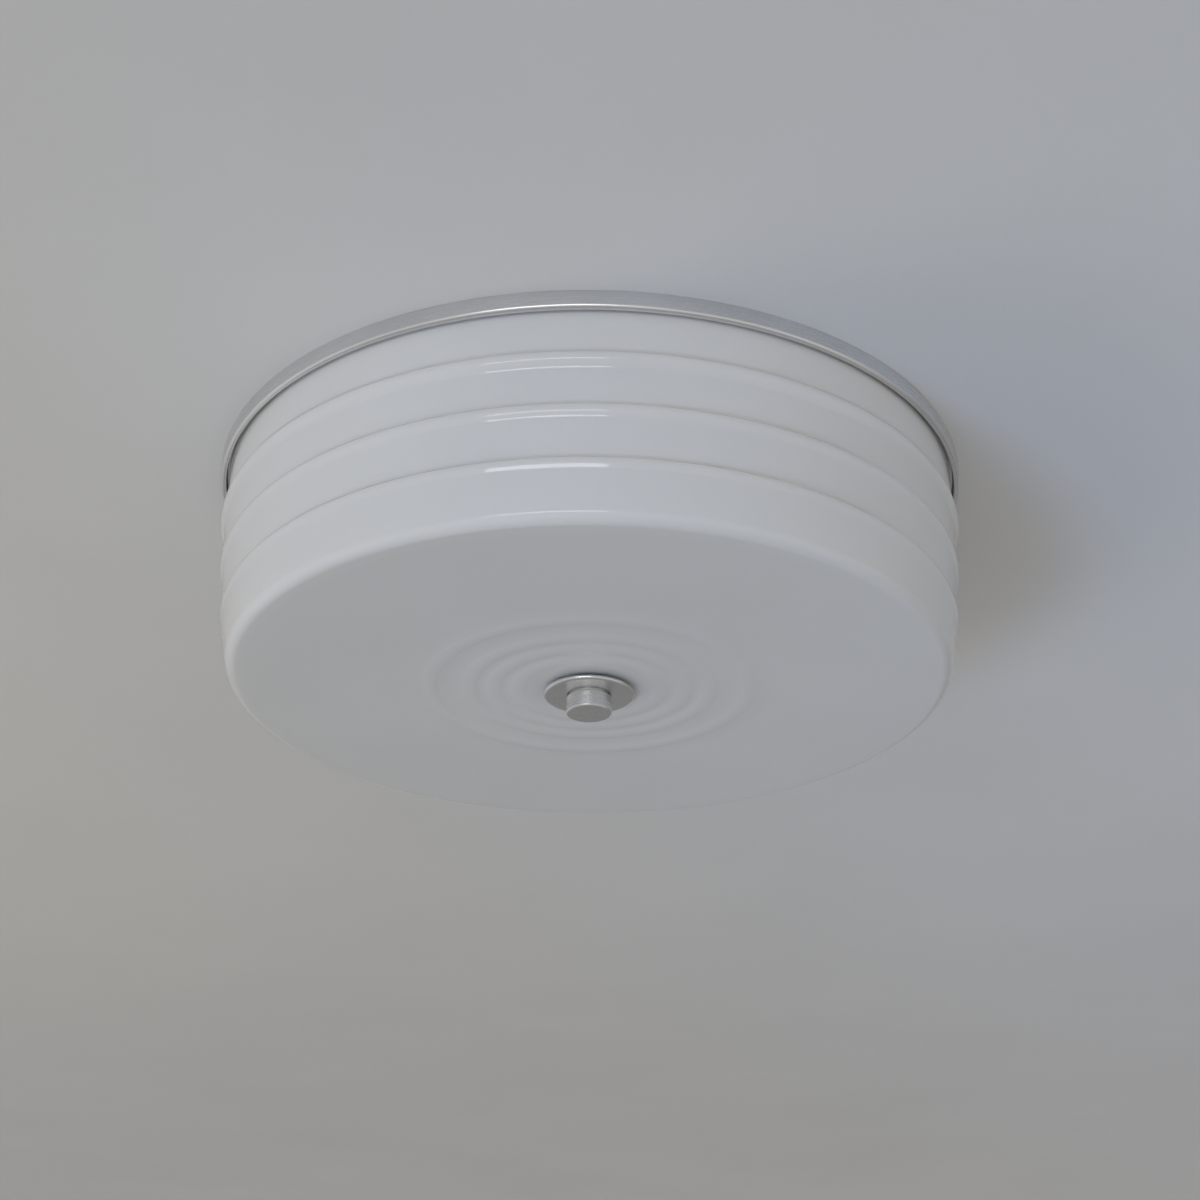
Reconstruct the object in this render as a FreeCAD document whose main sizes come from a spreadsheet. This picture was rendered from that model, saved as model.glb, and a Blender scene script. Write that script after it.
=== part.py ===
import FreeCAD, Part
import math
import os
import re
import Sketcher

# A flush mount ceiling light: a pressed pan on a slotted crossbar, a central threaded
# rod, two lampholders on angle brackets, and a ribbed opal glass shade that a knob
# holds up from below. Millimetres. Z is up and z = 0 is the ceiling; X lies along the
# crossbar and the bulbs. Lampholder 2 is lampholder 1 turned half way round Z.

V = FreeCAD.Vector
os.makedirs("parts", exist_ok=True)
doc = FreeCAD.newDocument("ceiling_light")
sheet = doc.addObject("Spreadsheet::Sheet", "Sizes")

SIZES = [
    # pan
    ("rim_radius", 165.0, "outside radius of the pan's rim"),
    ("gauge", 0.8, "thickness of the pan's sheet"),
    ("rim_band", 6.0, "height of the rim's upright band"),
    ("rim_roll", 1.7, "radius of the rim's rounded lip, outside"),
    ("hem_bend", 0.1, "inside radius of the bend where the lip turns back up"),
    ("plate_gap", 2.0, "space between the ceiling and the pan's flat plate"),
    ("recess_radius", 72.0, "outside radius of the pan's centre recess"),
    ("recess_depth", 14.0, "depth of the recess below the plate"),
    ("recess_draft", 2.5, "how much the recess narrows to its floor"),
    ("pan_rod_clear", 0.45, "gap round the rod in the pan's centre hole"),
    ("keyhole_reach", 28.0, "centre of the pan to each keyhole's screw"),
    ("keyhole_clear", 0.4, "gap round the screw in a keyhole's slot"),
    ("entry_clear", 0.8, "gap round the screw's head in a keyhole's entry"),
    ("keyhole_travel", 9.0, "keyhole's screw seat to its entry"),
    # crossbar
    ("bar_end", 2.05, "metal left outside a crossbar slot"),
    ("bar_width", 20.0, "width of the crossbar"),
    ("bar_gauge", 2.2, "thickness of the crossbar"),
    ("box_spacing", 88.9, "distance between the outlet box's screws"),
    ("box_slot_length", 13.0, "end to end length of a crossbar slot"),
    ("box_slot_half", 2.4, "half width of a crossbar slot"),
    ("bar_rod_clear", 0.15, "gap that the crossbar's centre hole leaves round such a rod"),
    # machine screws
    ("screw_radius", 2.0, "radius of the machine screws' threads"),
    ("screw_fit", 0.06, "gap round a screw in its tapped hole"),
    ("screw_head", 4.2, "radius of a machine screw's head"),
    ("screw_head_height", 2.6, "height of a machine screw's head"),
    ("ground_reach", 15.0, "centre of the crossbar to its ground screw"),
    # rod and its nuts
    ("rod_radius", 4.75, "radius of the threaded rod"),
    ("rod_bore", 3.2, "radius of the hole through the rod"),
    ("rod_above", 8.0, "how far the rod stands above the recess floor"),
    ("nut_flats", 14.3, "hex nut size across flats"),
    ("nut_height", 4.0, "height of a hex nut"),
    ("nut_fit", 0.06, "gap between rod and nut"),
    ("rod_washer_radius", 9.5, "radius of the washers under the nuts"),
    ("rod_washer_gauge", 1.2, "thickness of the washers under the nuts"),
    # shade
    ("neck_gap", 1.3, "space between the rim's hem and the shade's neck"),
    ("glass_wall", 3.0, "thickness of the shade's glass"),
    ("shade_gap", 0.3, "space between the shade's rim and the pan"),
    ("neck_bottom", 24.3, "ceiling to the foot of the neck"),
    ("rib_pitch", 22.0, "distance between ribs"),
    ("shoulder", 3.5, "height of a rib's shoulder, from valley to crest"),
    ("crest1_out", 1.9, "neck out to the upper rib's crest"),
    ("crest2_out", 0.3, "neck out to the middle rib's crest"),
    ("crest3_in", 1.5, "neck in to the lower rib's crest"),
    ("crest_round", 4.0, "radius of a rib from its crest to its flank"),
    ("flank1", 24.0, "slope of the upper rib's flank, degrees from upright"),
    ("flank2", 21.0, "slope of the middle rib's flank"),
    ("flank3", 17.0, "slope of the lower rib's flank"),
    ("flank1_length", 2.2, "length of the upper rib's flank"),
    ("flank2_length", 1.4, "length of the middle rib's flank"),
    ("flank3_length", 1.0, "length of the lower rib's flank"),
    ("cove", 8.0, "radius of the hollow between a rib's flank and the wall below"),
    ("wall1", 9.7, "slope of the wall below the upper rib, degrees from upright"),
    ("wall2", 12.3, "slope of the wall below the middle rib"),
    ("wall3", 9.9, "slope of the wall below the lower rib"),
    ("foot_height", 4.4, "shade's flat bottom to the foot of the wall"),
    ("shade_bottom", 94.7, "ceiling to the shade's flat bottom"),
    ("corner", 5.0, "radius of the shade's bottom corner"),
    ("dish", 0.7, "how far the centre of the bottom is raised"),
    ("ripple_half", 4.2, "half width of a ripple on the bottom"),
    ("ripple_height", 0.7, "height of a ripple"),
    ("ripple1", 69.2, "radius of the outer ripple"),
    ("ripple2", 52.3, "radius of the second ripple"),
    ("ripple3", 41.4, "radius of the third ripple"),
    ("ripple4", 30.8, "radius of the inner ripple"),
    # washers and knob below the shade
    ("grommet_fit", 0.2, "gap round the grommet in the shade"),
    ("grommet_wall", 1.35, "wall of the grommet in the shade's hole"),
    ("grommet_lip", 4.9, "shade's hole out to the edge of the grommet's flange"),
    ("grommet_gauge", 1.2, "thickness of the grommet's flange"),
    ("rod_clear", 0.3, "gap round the rod in the grommet and the washers"),
    ("gasket_radius", 16.5, "radius of the rubber gasket"),
    ("gasket_gauge", 1.2, "thickness of the rubber gasket"),
    ("disc_radius", 19.6, "radius of the finial washer"),
    ("disc_gauge", 2.2, "thickness of the finial washer"),
    ("knob_radius", 9.8, "radius of the knob"),
    ("knob_height", 8.2, "height of the knob"),
    ("undercut", 1.1, "depth of the groove at the knob's top"),
    ("undercut_height", 0.8, "height of the groove at the knob's top"),
    ("knob_chamfer", 0.6, "chamfer at the knob's foot"),
    ("knob_fit", 0.05, "gap between the rod and the knob's thread"),
    ("knob_crown", 1.3, "thickness left below the knob's blind hole"),
    ("rod_short", 0.4, "space between the rod's end and the blind hole's end"),
    # lampholders
    ("globe_clear", 9.0, "space between a bulb's globe and the shade's bottom"),
    ("globe_side", 12.0, "centre plane to a bulb's globe"),
    ("mouth_reach", 45.0, "centre of the pan to a lampholder's mouth"),
    ("mouth_wall", 4.7, "wall of a lampholder's mouth end"),
    ("mouth_length", 21.0, "length of the mouth end"),
    ("mouth_step", 2.0, "length of the slope behind the mouth end"),
    ("mouth_edge", 1.0, "radius of the mouth's edge"),
    ("holder_wall", 2.9, "wall of a lampholder's back end"),
    ("holder_back", 18.0, "solid porcelain behind the cavity"),
    ("cavity_clear", 0.4, "gap round the screw shell in the cavity"),
    ("cavity_depth", 28.0, "depth of a lampholder's cavity"),
    ("terminal_side", 7.0, "lampholder's axis to each terminal slot"),
    ("terminal_width", 5.0, "width of a terminal slot"),
    ("terminal_depth", 9.0, "depth of a terminal slot"),
    ("terminal_length", 11.0, "length of a terminal slot"),
    ("terminal_screw_in", 2.2, "inner end of a terminal slot to its screw"),
    ("terminal_screw_radius", 1.2, "radius of a terminal screw"),
    ("terminal_screw_length", 5.0, "length of a terminal screw"),
    ("terminal_screw_head", 2.0, "radius of a terminal screw's head"),
    ("terminal_screw_head_height", 1.4, "height of a terminal screw's head"),
    ("shell_radius", 13.9, "outside radius of the screw shell"),
    ("shell_gauge", 0.4, "thickness of the screw shell"),
    ("shell_set", 1.5, "mouth to the screw shell's edge"),
    ("shell_stand", 1.3, "screw shell's end to the cavity's floor"),
    ("shell_hole", 7.5, "radius of the hole in the screw shell's end"),
    ("contact_width", 6.0, "width of the centre contact"),
    ("contact_gauge", 0.5, "thickness of the centre contact"),
    ("contact_rise", 1.7, "height of the centre contact's tongue"),
    ("contact_foot", 5.0, "length of the centre contact's foot"),
    ("contact_slope", 2.0, "length of the tongue's slope"),
    ("contact_reach", 6.0, "length of the tongue with its slope"),
    # brackets
    ("bracket_gauge", 1.2, "thickness of a bracket"),
    ("bracket_bend", 1.2, "inside radius of a bracket's bend"),
    ("bracket_width", 30.0, "width of a bracket"),
    ("bracket_foot", 20.0, "length of a bracket's foot"),
    ("bracket_below", 13.0, "how far a bracket reaches below the bulb's axis"),
    ("rivet_radius", 2.0, "radius of a rivet's shank"),
    ("rivet_head", 3.8, "radius of a rivet's head"),
    ("rivet_head_height", 1.3, "height of a rivet's head"),
    ("rivet_tail", 2.8, "radius of a rivet's set end"),
    ("rivet_tail_height", 0.6, "height of a rivet's set end"),
    ("rivet_side", 9.0, "bracket's middle to each rivet"),
    ("rivet_fit", 0.05, "gap round a rivet or socket screw"),
    ("socket_screw_side", 9.0, "lampholder's axis to each of its screws, sideways"),
    ("socket_screw_drop", 5.0, "lampholder's axis down to its screws"),
    ("socket_screw_end", 0.5, "space beyond a socket screw's end"),
    ("socket_screw_length", 9.0, "length of a socket screw"),
    ("socket_screw_radius", 1.6, "radius of a socket screw"),
    ("socket_screw_head", 3.2, "radius of a socket screw's head"),
    ("socket_screw_head_height", 2.0, "height of a socket screw's head"),
    # bulbs
    ("cap_fit", 0.45, "gap between a bulb's cap and the screw shell"),
    ("cap_gauge", 0.4, "thickness of a bulb's screw cap"),
    ("cap_lip", 2.45, "how far the cap's inner end turns in"),
    ("cap_out", 4.0, "mouth to the outer end of the cap"),
    ("tip_gap", 0.3, "space between a bulb's tip and the centre contact"),
    ("tip_radius", 4.6, "radius of the tip contact"),
    ("tip_gauge", 1.3, "thickness of the tip contact"),
    ("tip_edge", 0.6, "insulator's end beyond the tip contact's side"),
    ("insulator_height", 3.5, "height of the insulator outside the cap, with the tip"),
    ("insulator_inside", 3.0, "height of the insulator inside the cap"),
    ("globe_radius", 30.0, "radius of a bulb's globe"),
    ("globe_reach", 82.0, "mouth to the far end of the globe"),
    ("globe_wall", 1.0, "thickness of a bulb's glass"),
    ("globe_fit", 0.15, "gap between the globe's neck and the cap"),
    ("globe_flare", 46.0, "radius of the curve from neck to globe"),
    # wiring
    ("lead_radius", 1.2, "radius of an insulated lead"),
    ("lead_apart", 0.7, "half the space between two leads in their bushing"),
    ("lead_below", 9.2, "recess floor to the leads' run over the lampholders"),
    ("lead_bend", 5.0, "bend radius of a lead"),
    ("bushing_reach", 35.0, "X distance of a lead bushing"),
    ("bushing_clear", 0.9, "gap round the leads in their bushing"),
    ("bushing_fit", 0.1, "gap round a bushing in the pan"),
    ("bushing_wall", 0.9, "wall of a bushing"),
    ("bushing_lip", 1.8, "pan's hole out to the edge of a bushing's flange"),
    ("bushing_flange_gauge", 1.1, "thickness of a bushing's flange"),
    ("bushing_stand", 1.5, "how far a bushing stands above the recess floor"),
    ("connector_length", 22.0, "length of a wire connector"),
    ("connector_mouth", 5.8, "radius of a wire connector's mouth"),
    ("connector_tip", 3.6, "radius of a wire connector's tip"),
    ("connector_wall", 1.2, "wall of a wire connector's mouth"),
    ("connector_hollow", 9.0, "depth of a wire connector's mouth"),
    ("connector_draft", 1.0, "how much the mouth narrows to its end"),
    ("connector_side", 27.0, "centre plane to a wire connector"),
    ("connector_reach", 12.0, "centre of the pan to a wire connector's mouth"),
    ("connector_rest", 0.3, "space under a wire connector's mouth"),
    ("lead_pinch", 0.3, "half the space between two leads in a connector"),
    ("lead_in", 6.0, "how far a lead reaches into its connector"),
    ("ground_wire_radius", 0.8, "radius of the bare ground wire"),
    ("ground_bend", 2.5, "bend radius of the ground wire"),
    ("ground_tail", 5.0, "straight end of the ground wire beside a screw"),
    ("pan_ground_x", 22.0, "X of the ground screw in the recess floor"),
    ("pan_ground_y", 20.0, "Y of the ground screw in the recess floor"),
    # insulation
    ("pad_recess_gap", 8.0, "recess out to the insulation pad"),
    ("pad_rim_gap", 6.4, "insulation pad out to the rim's hem"),
    ("pad_gauge", 1.7, "thickness of the insulation pad"),
    ("pad_rivet_gap", 1.3, "gap round the rivets in the insulation pad"),
]
for row, (alias, value, meaning) in enumerate(SIZES, start=1):
    sheet.set(f"A{row}", meaning)
    sheet.set(f"B{row}", str(value))
    sheet.setAlias(f"B{row}", alias)
doc.recompute()
ALIASES = {alias for alias, value, meaning in SIZES}


def bound(text):
    """Turn a formula in size names into one that reads the sheet."""
    return re.sub(r"[a-z][a-z0-9_]*", lambda m: f"Sizes.{m[0]}" if m[0] in ALIASES else m[0], text)


def size(text):
    """The present value of a formula in size names."""
    return float(sheet.evalExpression(bound(text)))


# ------------------------------------------------------------------ sketches


def new_body(name):
    body = doc.addObject("PartDesign::Body", name)
    body.Label = name
    return body


def new_sketch(body, name, role="XZ_Plane", height=None):
    """An empty sketch on one of the body's own origin planes, at a height along it."""
    sketch = body.newObject("Sketcher::SketchObject", f"{body.Name}_{name}")
    planes = [item for item in body.Origin.OriginFeatures if item.Role == role]
    sketch.AttachmentSupport = [(planes[0], "")]
    sketch.MapMode = "FlatFace"
    if height is not None:
        sketch.setExpression("AttachmentOffset.Base.z", bound(height))
    return sketch


def constrain(sketch, kind, *arguments, formula):
    number = sketch.addConstraint(Sketcher.Constraint(kind, *arguments, abs(size(formula))))
    sketch.setExpression(f"Constraints[{number}]", bound(formula))


def pin(sketch, edge, end, x, y):
    """Hold a point of the sketch at the formulas x and y."""
    for kind, axis, formula in (("DistanceX", -2, x), ("DistanceY", -1, y)):
        if abs(size(formula)) < 1e-9:
            sketch.addConstraint(Sketcher.Constraint("PointOnObject", edge, end, axis))
        else:
            value = size(formula)
            number = sketch.addConstraint(Sketcher.Constraint(kind, -1, 1, edge, end, value))
            sketch.setExpression(f"Constraints[{number}]", bound(formula))


def arc_between(start, end, radius, turn):
    """The short arc from start to end; turn is 1 for anticlockwise, -1 for clockwise."""
    chord = end - start
    reach = math.sqrt(max(radius**2 - chord.Length**2 / 4, 0.0))
    across = V(-chord.y, chord.x, 0).normalize()
    centre = (start + end) / 2 + across * reach * turn
    first, last = (start, end) if turn > 0 else (end, start)
    angles = [math.atan2(p.y - centre.y, p.x - centre.x) for p in (first, last)]
    return Part.ArcOfCircle(Part.Circle(centre, V(0, 0, 1), radius), angles[0], angles[1])


def outline(sketch, corners):
    """A closed outline through the corners (x, y). A corner (x, y, radius, turn) is
    reached by an arc of that radius."""
    spots = [V(size(c[0]), size(c[1]), 0) for c in corners]
    edges = []
    for i, corner in enumerate(corners):
        start, end = spots[i - 1], spots[i]
        if len(corner) == 2:
            edge = sketch.addGeometry(Part.LineSegment(start, end), False)
            edges.append((edge, 1, 2))
        else:
            turn = corner[3]
            arc = arc_between(start, end, size(corner[2]), turn)
            edge = sketch.addGeometry(arc, False)
            edges.append((edge, 1, 2) if turn > 0 else (edge, 2, 1))
    for i, corner in enumerate(corners):
        edge, last = edges[i][0], edges[i][2]
        following, first = edges[(i + 1) % len(edges)][:2]
        sketch.addConstraint(Sketcher.Constraint("Coincident", edge, last, following, first))
        pin(sketch, edge, last, corner[0], corner[1])
        if len(corner) == 4:
            constrain(sketch, "Radius", edge, formula=corner[2])


def circle(sketch, x, y, radius):
    spot = V(size(x), size(y), 0)
    edge = sketch.addGeometry(Part.Circle(spot, V(0, 0, 1), size(radius)), False)
    pin(sketch, edge, 3, x, y)
    constrain(sketch, "Radius", edge, formula=radius)


def slot(sketch, x1, x2, y, half):
    """A round-ended slot along x between the end centres x1 < x2."""
    outline(
        sketch,
        [
            (x2, f"{y} - ({half})"),
            (f"{x2} + {half}", y, half, 1),
            (x2, f"{y} + {half}", half, 1),
            (x1, f"{y} + {half}"),
            (f"{x1} - ({half})", y, half, 1),
            (x1, f"{y} - ({half})", half, 1),
        ],
    )


def rectangle(sketch, x1, x2, y1, y2):
    outline(sketch, [(x2, y1), (x2, y2), (x1, y2), (x1, y1)])


# ------------------------------------------------------------------ features


def revolve(body, sketch):
    feature = body.newObject("PartDesign::Revolution", f"{body.Name}_turned")
    feature.Profile = sketch
    feature.ReferenceAxis = (sketch, ["V_Axis"])
    feature.Angle = 360
    doc.recompute()
    return feature


def pad(body, sketch, length, reverse=False, midplane=False):
    feature = body.newObject("PartDesign::Pad", f"{sketch.Name}_pad")
    feature.Profile = sketch
    feature.setExpression("Length", bound(length))
    feature.Reversed = reverse
    feature.Midplane = midplane
    doc.recompute()
    return feature


def cut(body, sketch, length=None, reverse=False):
    """A pocket to a depth, or right through both ways; it must take material away."""
    before = body.Shape.Volume
    feature = body.newObject("PartDesign::Pocket", f"{sketch.Name}_cut")
    feature.Profile = sketch
    if length is None:
        feature.Type = "ThroughAll"
        feature.Midplane = True
    else:
        feature.setExpression("Length", bound(length))
        feature.Reversed = reverse
    doc.recompute()
    if body.Shape.Volume > before - 0.01:
        raise RuntimeError(f"{feature.Name} removes nothing")
    return feature


def turned(name, corners):
    """A body of revolution about its own Z from an outline of (radius, height)."""
    body = new_body(name)
    sketch = new_sketch(body, "profile")
    outline(sketch, corners)
    revolve(body, sketch)
    return body


def ring(name, inner, outer, bottom, top):
    return turned(name, [(outer, bottom), (outer, top), (inner, top), (inner, bottom)])


def place(thing, x="0", y="0", z="0", axis=None, angle=0):
    if axis is not None:
        thing.Placement = FreeCAD.Placement(V(), FreeCAD.Rotation(axis, angle))
    for letter, formula in (("x", x), ("y", y), ("z", z)):
        thing.setExpression(f"Placement.Base.{letter}", bound(formula))


def group(name, members):
    """Several alike solids as one piece of the document."""
    compound = doc.addObject("Part::Compound", name)
    compound.Links = members
    compound.Label = name
    doc.recompute()
    return compound


# ------------------------------------------------------------------ what follows from the sizes

# radii
LIP_TURN = "(gauge + hem_bend)"
HEM = f"(rim_radius - rim_roll - {LIP_TURN})"
NECK = f"({HEM} - neck_gap)"
CRESTS = [f"({NECK} + crest1_out)", f"({NECK} + crest2_out)", f"({NECK} - crest3_in)"]
PAN_HOLE = "(rod_radius + pan_rod_clear)"
KEYHOLE_HALF = "(screw_radius + keyhole_clear)"
KEYHOLE_ENTRY = "(screw_head + entry_clear)"
TAPPED = "(screw_radius + screw_fit)"
ROD_ROOM = "(rod_radius + rod_clear)"
GROMMET = f"({ROD_ROOM} + grommet_wall)"
SHADE_HOLE = f"({GROMMET} + grommet_fit)"
CAVITY = "(shell_radius + cavity_clear)"
MOUTH_END = f"({CAVITY} + mouth_wall)"
HOLDER = f"({CAVITY} + holder_wall)"
CAP = "(shell_radius - shell_gauge - cap_fit)"
INSULATOR = f"({CAP} - cap_lip)"
GLOBE_NECK = f"({CAP} - cap_gauge - globe_fit)"
LEAD_SIDE = "(lead_radius + lead_apart)"
LEAD_SPREAD = "(lead_radius + lead_pinch)"
BUSHING_BORE = f"({LEAD_SIDE} + lead_radius + bushing_clear)"
BUSHING = f"({BUSHING_BORE} + bushing_wall)"
BUSHING_HOLE = f"({BUSHING} + bushing_fit)"

# heights
PLATE_BACK = "(-plate_gap)"
PLATE_FACE = "(-plate_gap - gauge)"
FLOOR_BACK = "(-plate_gap - recess_depth)"
FLOOR_FACE = "(-plate_gap - recess_depth - gauge)"
SHADE_FOOT = "(-shade_bottom + foot_height)"
SEAT = "(-shade_bottom + dish)"
SHADE_FLOOR = f"({SEAT} + glass_wall)"
GASKET_FOOT = f"({SEAT} - gasket_gauge)"
DISC_FOOT = f"({GASKET_FOOT} - disc_gauge)"
KNOB_FOOT = f"({DISC_FOOT} - knob_height)"
ROD_FOOT = f"({KNOB_FOOT} + knob_crown + rod_short)"
LAMP_LEVEL = f"({SHADE_FLOOR} + globe_clear + globe_radius)"
LEAD_LEVEL = f"({FLOOR_FACE} - lead_below)"
CONNECTOR_LEVEL = f"({FLOOR_BACK} + connector_mouth + connector_rest)"

# along a lampholder, from its mouth
HOLDER_LENGTH = "(cavity_depth + holder_back)"
SHELL_END = "(-cavity_depth + shell_stand)"
TIP_END = "(-cavity_depth + contact_rise + tip_gap)"
CAP_END = f"({TIP_END} + insulator_height)"

# across the pan
LAMP_SIDE = "(globe_side + globe_radius)"
HOLDER_BACK = f"(mouth_reach + {HOLDER_LENGTH})"
BRACKET_BACK = f"({HOLDER_BACK} + bracket_gauge)"
RIVET_REACH = f"({BRACKET_BACK} + bracket_foot / 2)"
RIVET_SPOTS = [
    (f"{sign}{RIVET_REACH}", f"{other}{LAMP_SIDE} {step} rivet_side")
    for sign, other in (("-", ""), ("", "-"))
    for step in ("+", "-")
]
BUSHING_SPOTS = [("-bushing_reach", LAMP_SIDE), ("bushing_reach", f"-{LAMP_SIDE}")]


# ------------------------------------------------------------------ the pan


def make_pan():
    """The pressed dish: rolled rim, flat plate and centre recess."""
    body = turned(
        "ceiling_pan",
        [
            ("rim_radius", "0"),
            ("rim_radius", "-rim_band"),
            ("rim_radius - rim_roll", "-rim_band - rim_roll", "rim_roll", -1),
            (HEM, f"-rim_band - rim_roll + {LIP_TURN}", LIP_TURN, -1),
            (HEM, PLATE_FACE),
            ("recess_radius", PLATE_FACE),
            ("recess_radius - recess_draft", FLOOR_FACE),
            (PAN_HOLE, FLOOR_FACE),
            (PAN_HOLE, FLOOR_BACK),
            ("recess_radius - recess_draft - gauge", FLOOR_BACK),
            ("recess_radius - gauge", PLATE_BACK),
            (f"{HEM} + gauge", PLATE_BACK),
            (f"{HEM} + gauge", f"-rim_band - rim_roll + {LIP_TURN}"),
            ("rim_radius - rim_roll", "-rim_band - rim_roll + gauge"),
            ("rim_radius - gauge", "-rim_band", "rim_roll - gauge", 1),
            ("rim_radius - gauge", "0"),
        ],
    )
    entries = new_sketch(body, "entries", "XY_Plane")
    slots = new_sketch(body, "slots", "XY_Plane")
    for side, turn in (("", 1), ("-", -1)):
        circle(entries, f"{side}keyhole_reach", f"{side}keyhole_travel", KEYHOLE_ENTRY)
        keyhole_slot(slots, f"{side}keyhole_reach", f"{side}keyhole_travel", turn)
    cut(body, entries)
    cut(body, slots)
    holes = new_sketch(body, "holes", "XY_Plane")
    for x, y in BUSHING_SPOTS:
        circle(holes, x, y, BUSHING_HOLE)
    circle(holes, "pan_ground_x", "pan_ground_y", TAPPED)
    for x, y in RIVET_SPOTS:
        circle(holes, x, y, "rivet_radius + rivet_fit")
    cut(body, holes)


def keyhole_slot(sketch, x, travel, turn):
    """The narrow end of a keyhole, from the screw's seat to the middle of its entry."""
    side = KEYHOLE_HALF if turn > 0 else f"-{KEYHOLE_HALF}"
    outline(
        sketch,
        [
            (f"{x} + {side}", travel),
            (f"{x} - ({side})", travel),
            (f"{x} - ({side})", "0"),
            (x, f"-({side})", KEYHOLE_HALF, 1),
            (f"{x} + {side}", "0", KEYHOLE_HALF, 1),
        ],
    )


make_pan()


def make_pad():
    """The fibre pad on the plate's back, with room round the rivets."""
    inner = "recess_radius + pad_recess_gap"
    outer = f"{HEM} - pad_rim_gap"
    body = ring("insulation_pad", inner, outer, PLATE_BACK, f"{PLATE_BACK} + pad_gauge")
    holes = new_sketch(body, "holes", "XY_Plane")
    for x, y in RIVET_SPOTS:
        circle(holes, x, y, "rivet_tail + pad_rivet_gap")
    cut(body, holes)


make_pad()


# ------------------------------------------------------------------ crossbar and screws


def make_crossbar():
    body = new_body("crossbar")
    plate = new_sketch(body, "plate", "XY_Plane")
    half = "bar_width / 2"
    reach = "((box_spacing + box_slot_length) / 2 + bar_end)"
    slot(plate, f"-{reach} + {half}", f"{reach} - {half}", "0", half)
    pad(body, plate, "bar_gauge", reverse=True)
    holes = new_sketch(body, "holes", "XY_Plane")
    circle(holes, "0", "0", "rod_radius + bar_rod_clear")
    for x in ("keyhole_reach", "-keyhole_reach", "ground_reach"):
        circle(holes, x, "0", TAPPED)
    cut(body, holes)
    slots = new_sketch(body, "box_slots", "XY_Plane")
    run = "(box_slot_length / 2 - box_slot_half)"
    for middle in ("box_spacing / 2", "-box_spacing / 2"):
        slot(slots, f"{middle} - {run}", f"{middle} + {run}", "0", "box_slot_half")
    cut(body, slots)


make_crossbar()


def screw_corners(shank, head, head_height, length):
    """A screw's outline, its bevelled head below z = 0 and its shank above."""
    return [
        (shank, "0"),
        (shank, length),
        ("0", length),
        ("0", f"-({head_height})"),
        (f"{head} * 0.7", f"-({head_height})"),
        (head, f"-({head_height}) / 2"),
        (head, "0"),
    ]


def make_canopy_screws():
    length = "recess_depth + plate_gap + gauge - shade_gap"
    screws = []
    for i, sign in enumerate(("", "-"), start=1):
        corners = screw_corners("screw_radius", "screw_head", "screw_head_height", length)
        screw = turned(f"canopy_screw_{i}", corners)
        place(screw, f"{sign}keyhole_reach", "0", FLOOR_FACE)
        screws.append(screw)
    group("canopy_screws", screws)


make_canopy_screws()


def make_ground_screws():
    """One screw in the crossbar and one in the recess floor, each with room for the
    bare wire under its head."""
    under = "2 * ground_wire_radius"
    screws = []
    for i, metal in enumerate(("bar_gauge", "gauge"), start=1):
        corners = screw_corners(
            "screw_radius", "screw_head", "screw_head_height", f"{metal} + {under}"
        )
        screws.append(turned(f"ground_screw_{i}", corners))
    place(screws[0], "ground_reach", "0", f"-bar_gauge - {under}")
    floor = f"{FLOOR_BACK} + {under}"
    place(screws[1], "pan_ground_x", "pan_ground_y", floor, V(1, 0, 0), 180)
    group("ground_screws", screws)


make_ground_screws()


# ------------------------------------------------------------------ rod and nuts


def make_rod():
    ring("threaded_rod", "rod_bore", "rod_radius", ROD_FOOT, f"{FLOOR_BACK} + rod_above")
    washers = []
    nuts = []
    corner = "(nut_flats / 2 / cos(30))"
    for i, (seat, sign) in enumerate(((FLOOR_BACK, "+"), (FLOOR_FACE, "-")), start=1):
        washer = ring(f"rod_washer_{i}", ROD_ROOM, "rod_washer_radius", "0", "rod_washer_gauge")
        place(washer, "0", "0", seat if sign == "+" else f"{seat} - rod_washer_gauge")
        washers.append(washer)
        nut = new_body(f"rod_nut_{i}")
        hexagon = new_sketch(nut, "hexagon", "XY_Plane")
        corners = []
        for k in range(6):
            angle = 60 * k
            corners.append((f"{corner} * cos({angle})", f"{corner} * sin({angle})"))
        outline(hexagon, corners)
        circle(hexagon, "0", "0", "rod_radius + nut_fit")
        pad(nut, hexagon, "nut_height")
        low = f"{seat} {sign} rod_washer_gauge"
        place(nut, "0", "0", low if sign == "+" else f"{low} - nut_height")
        nuts.append(nut)
    group("rod_washers", washers)
    group("rod_nuts", nuts)


make_rod()


# ------------------------------------------------------------------ the shade


def rib(k):
    """The turning points of rib k from crest to wall, as (radius, height): its crest, the
    two ends of its flank and the end of the cove below it."""
    flank, run, slope = f"flank{k + 1}", f"flank{k + 1}_length", f"wall{k + 1}"
    crest = (CRESTS[k], f"(-neck_bottom - shoulder - {k} * rib_pitch)")
    upper = (
        f"({crest[0]} - crest_round * (1 - cos({flank})))",
        f"({crest[1]} - crest_round * sin({flank}))",
    )
    lower = (f"({upper[0]} - {run} * sin({flank}))", f"({upper[1]} - {run} * cos({flank}))")
    end = (
        f"({lower[0]} - cove * (cos({slope}) - cos({flank})))",
        f"({lower[1]} - cove * (sin({flank}) - sin({slope})))",
    )
    return crest, upper, lower, end


def valley(k):
    """The point where the shoulder of rib k starts; 3 is the foot of the wall."""
    if k == 0:
        return NECK, "(-neck_bottom)"
    level = SHADE_FOOT if k == 3 else f"(-neck_bottom - {k} * rib_pitch)"
    end = rib(k - 1)[3]
    return f"({end[0]} - ({end[1]} - {level}) * tan(wall{k}))", level


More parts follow.
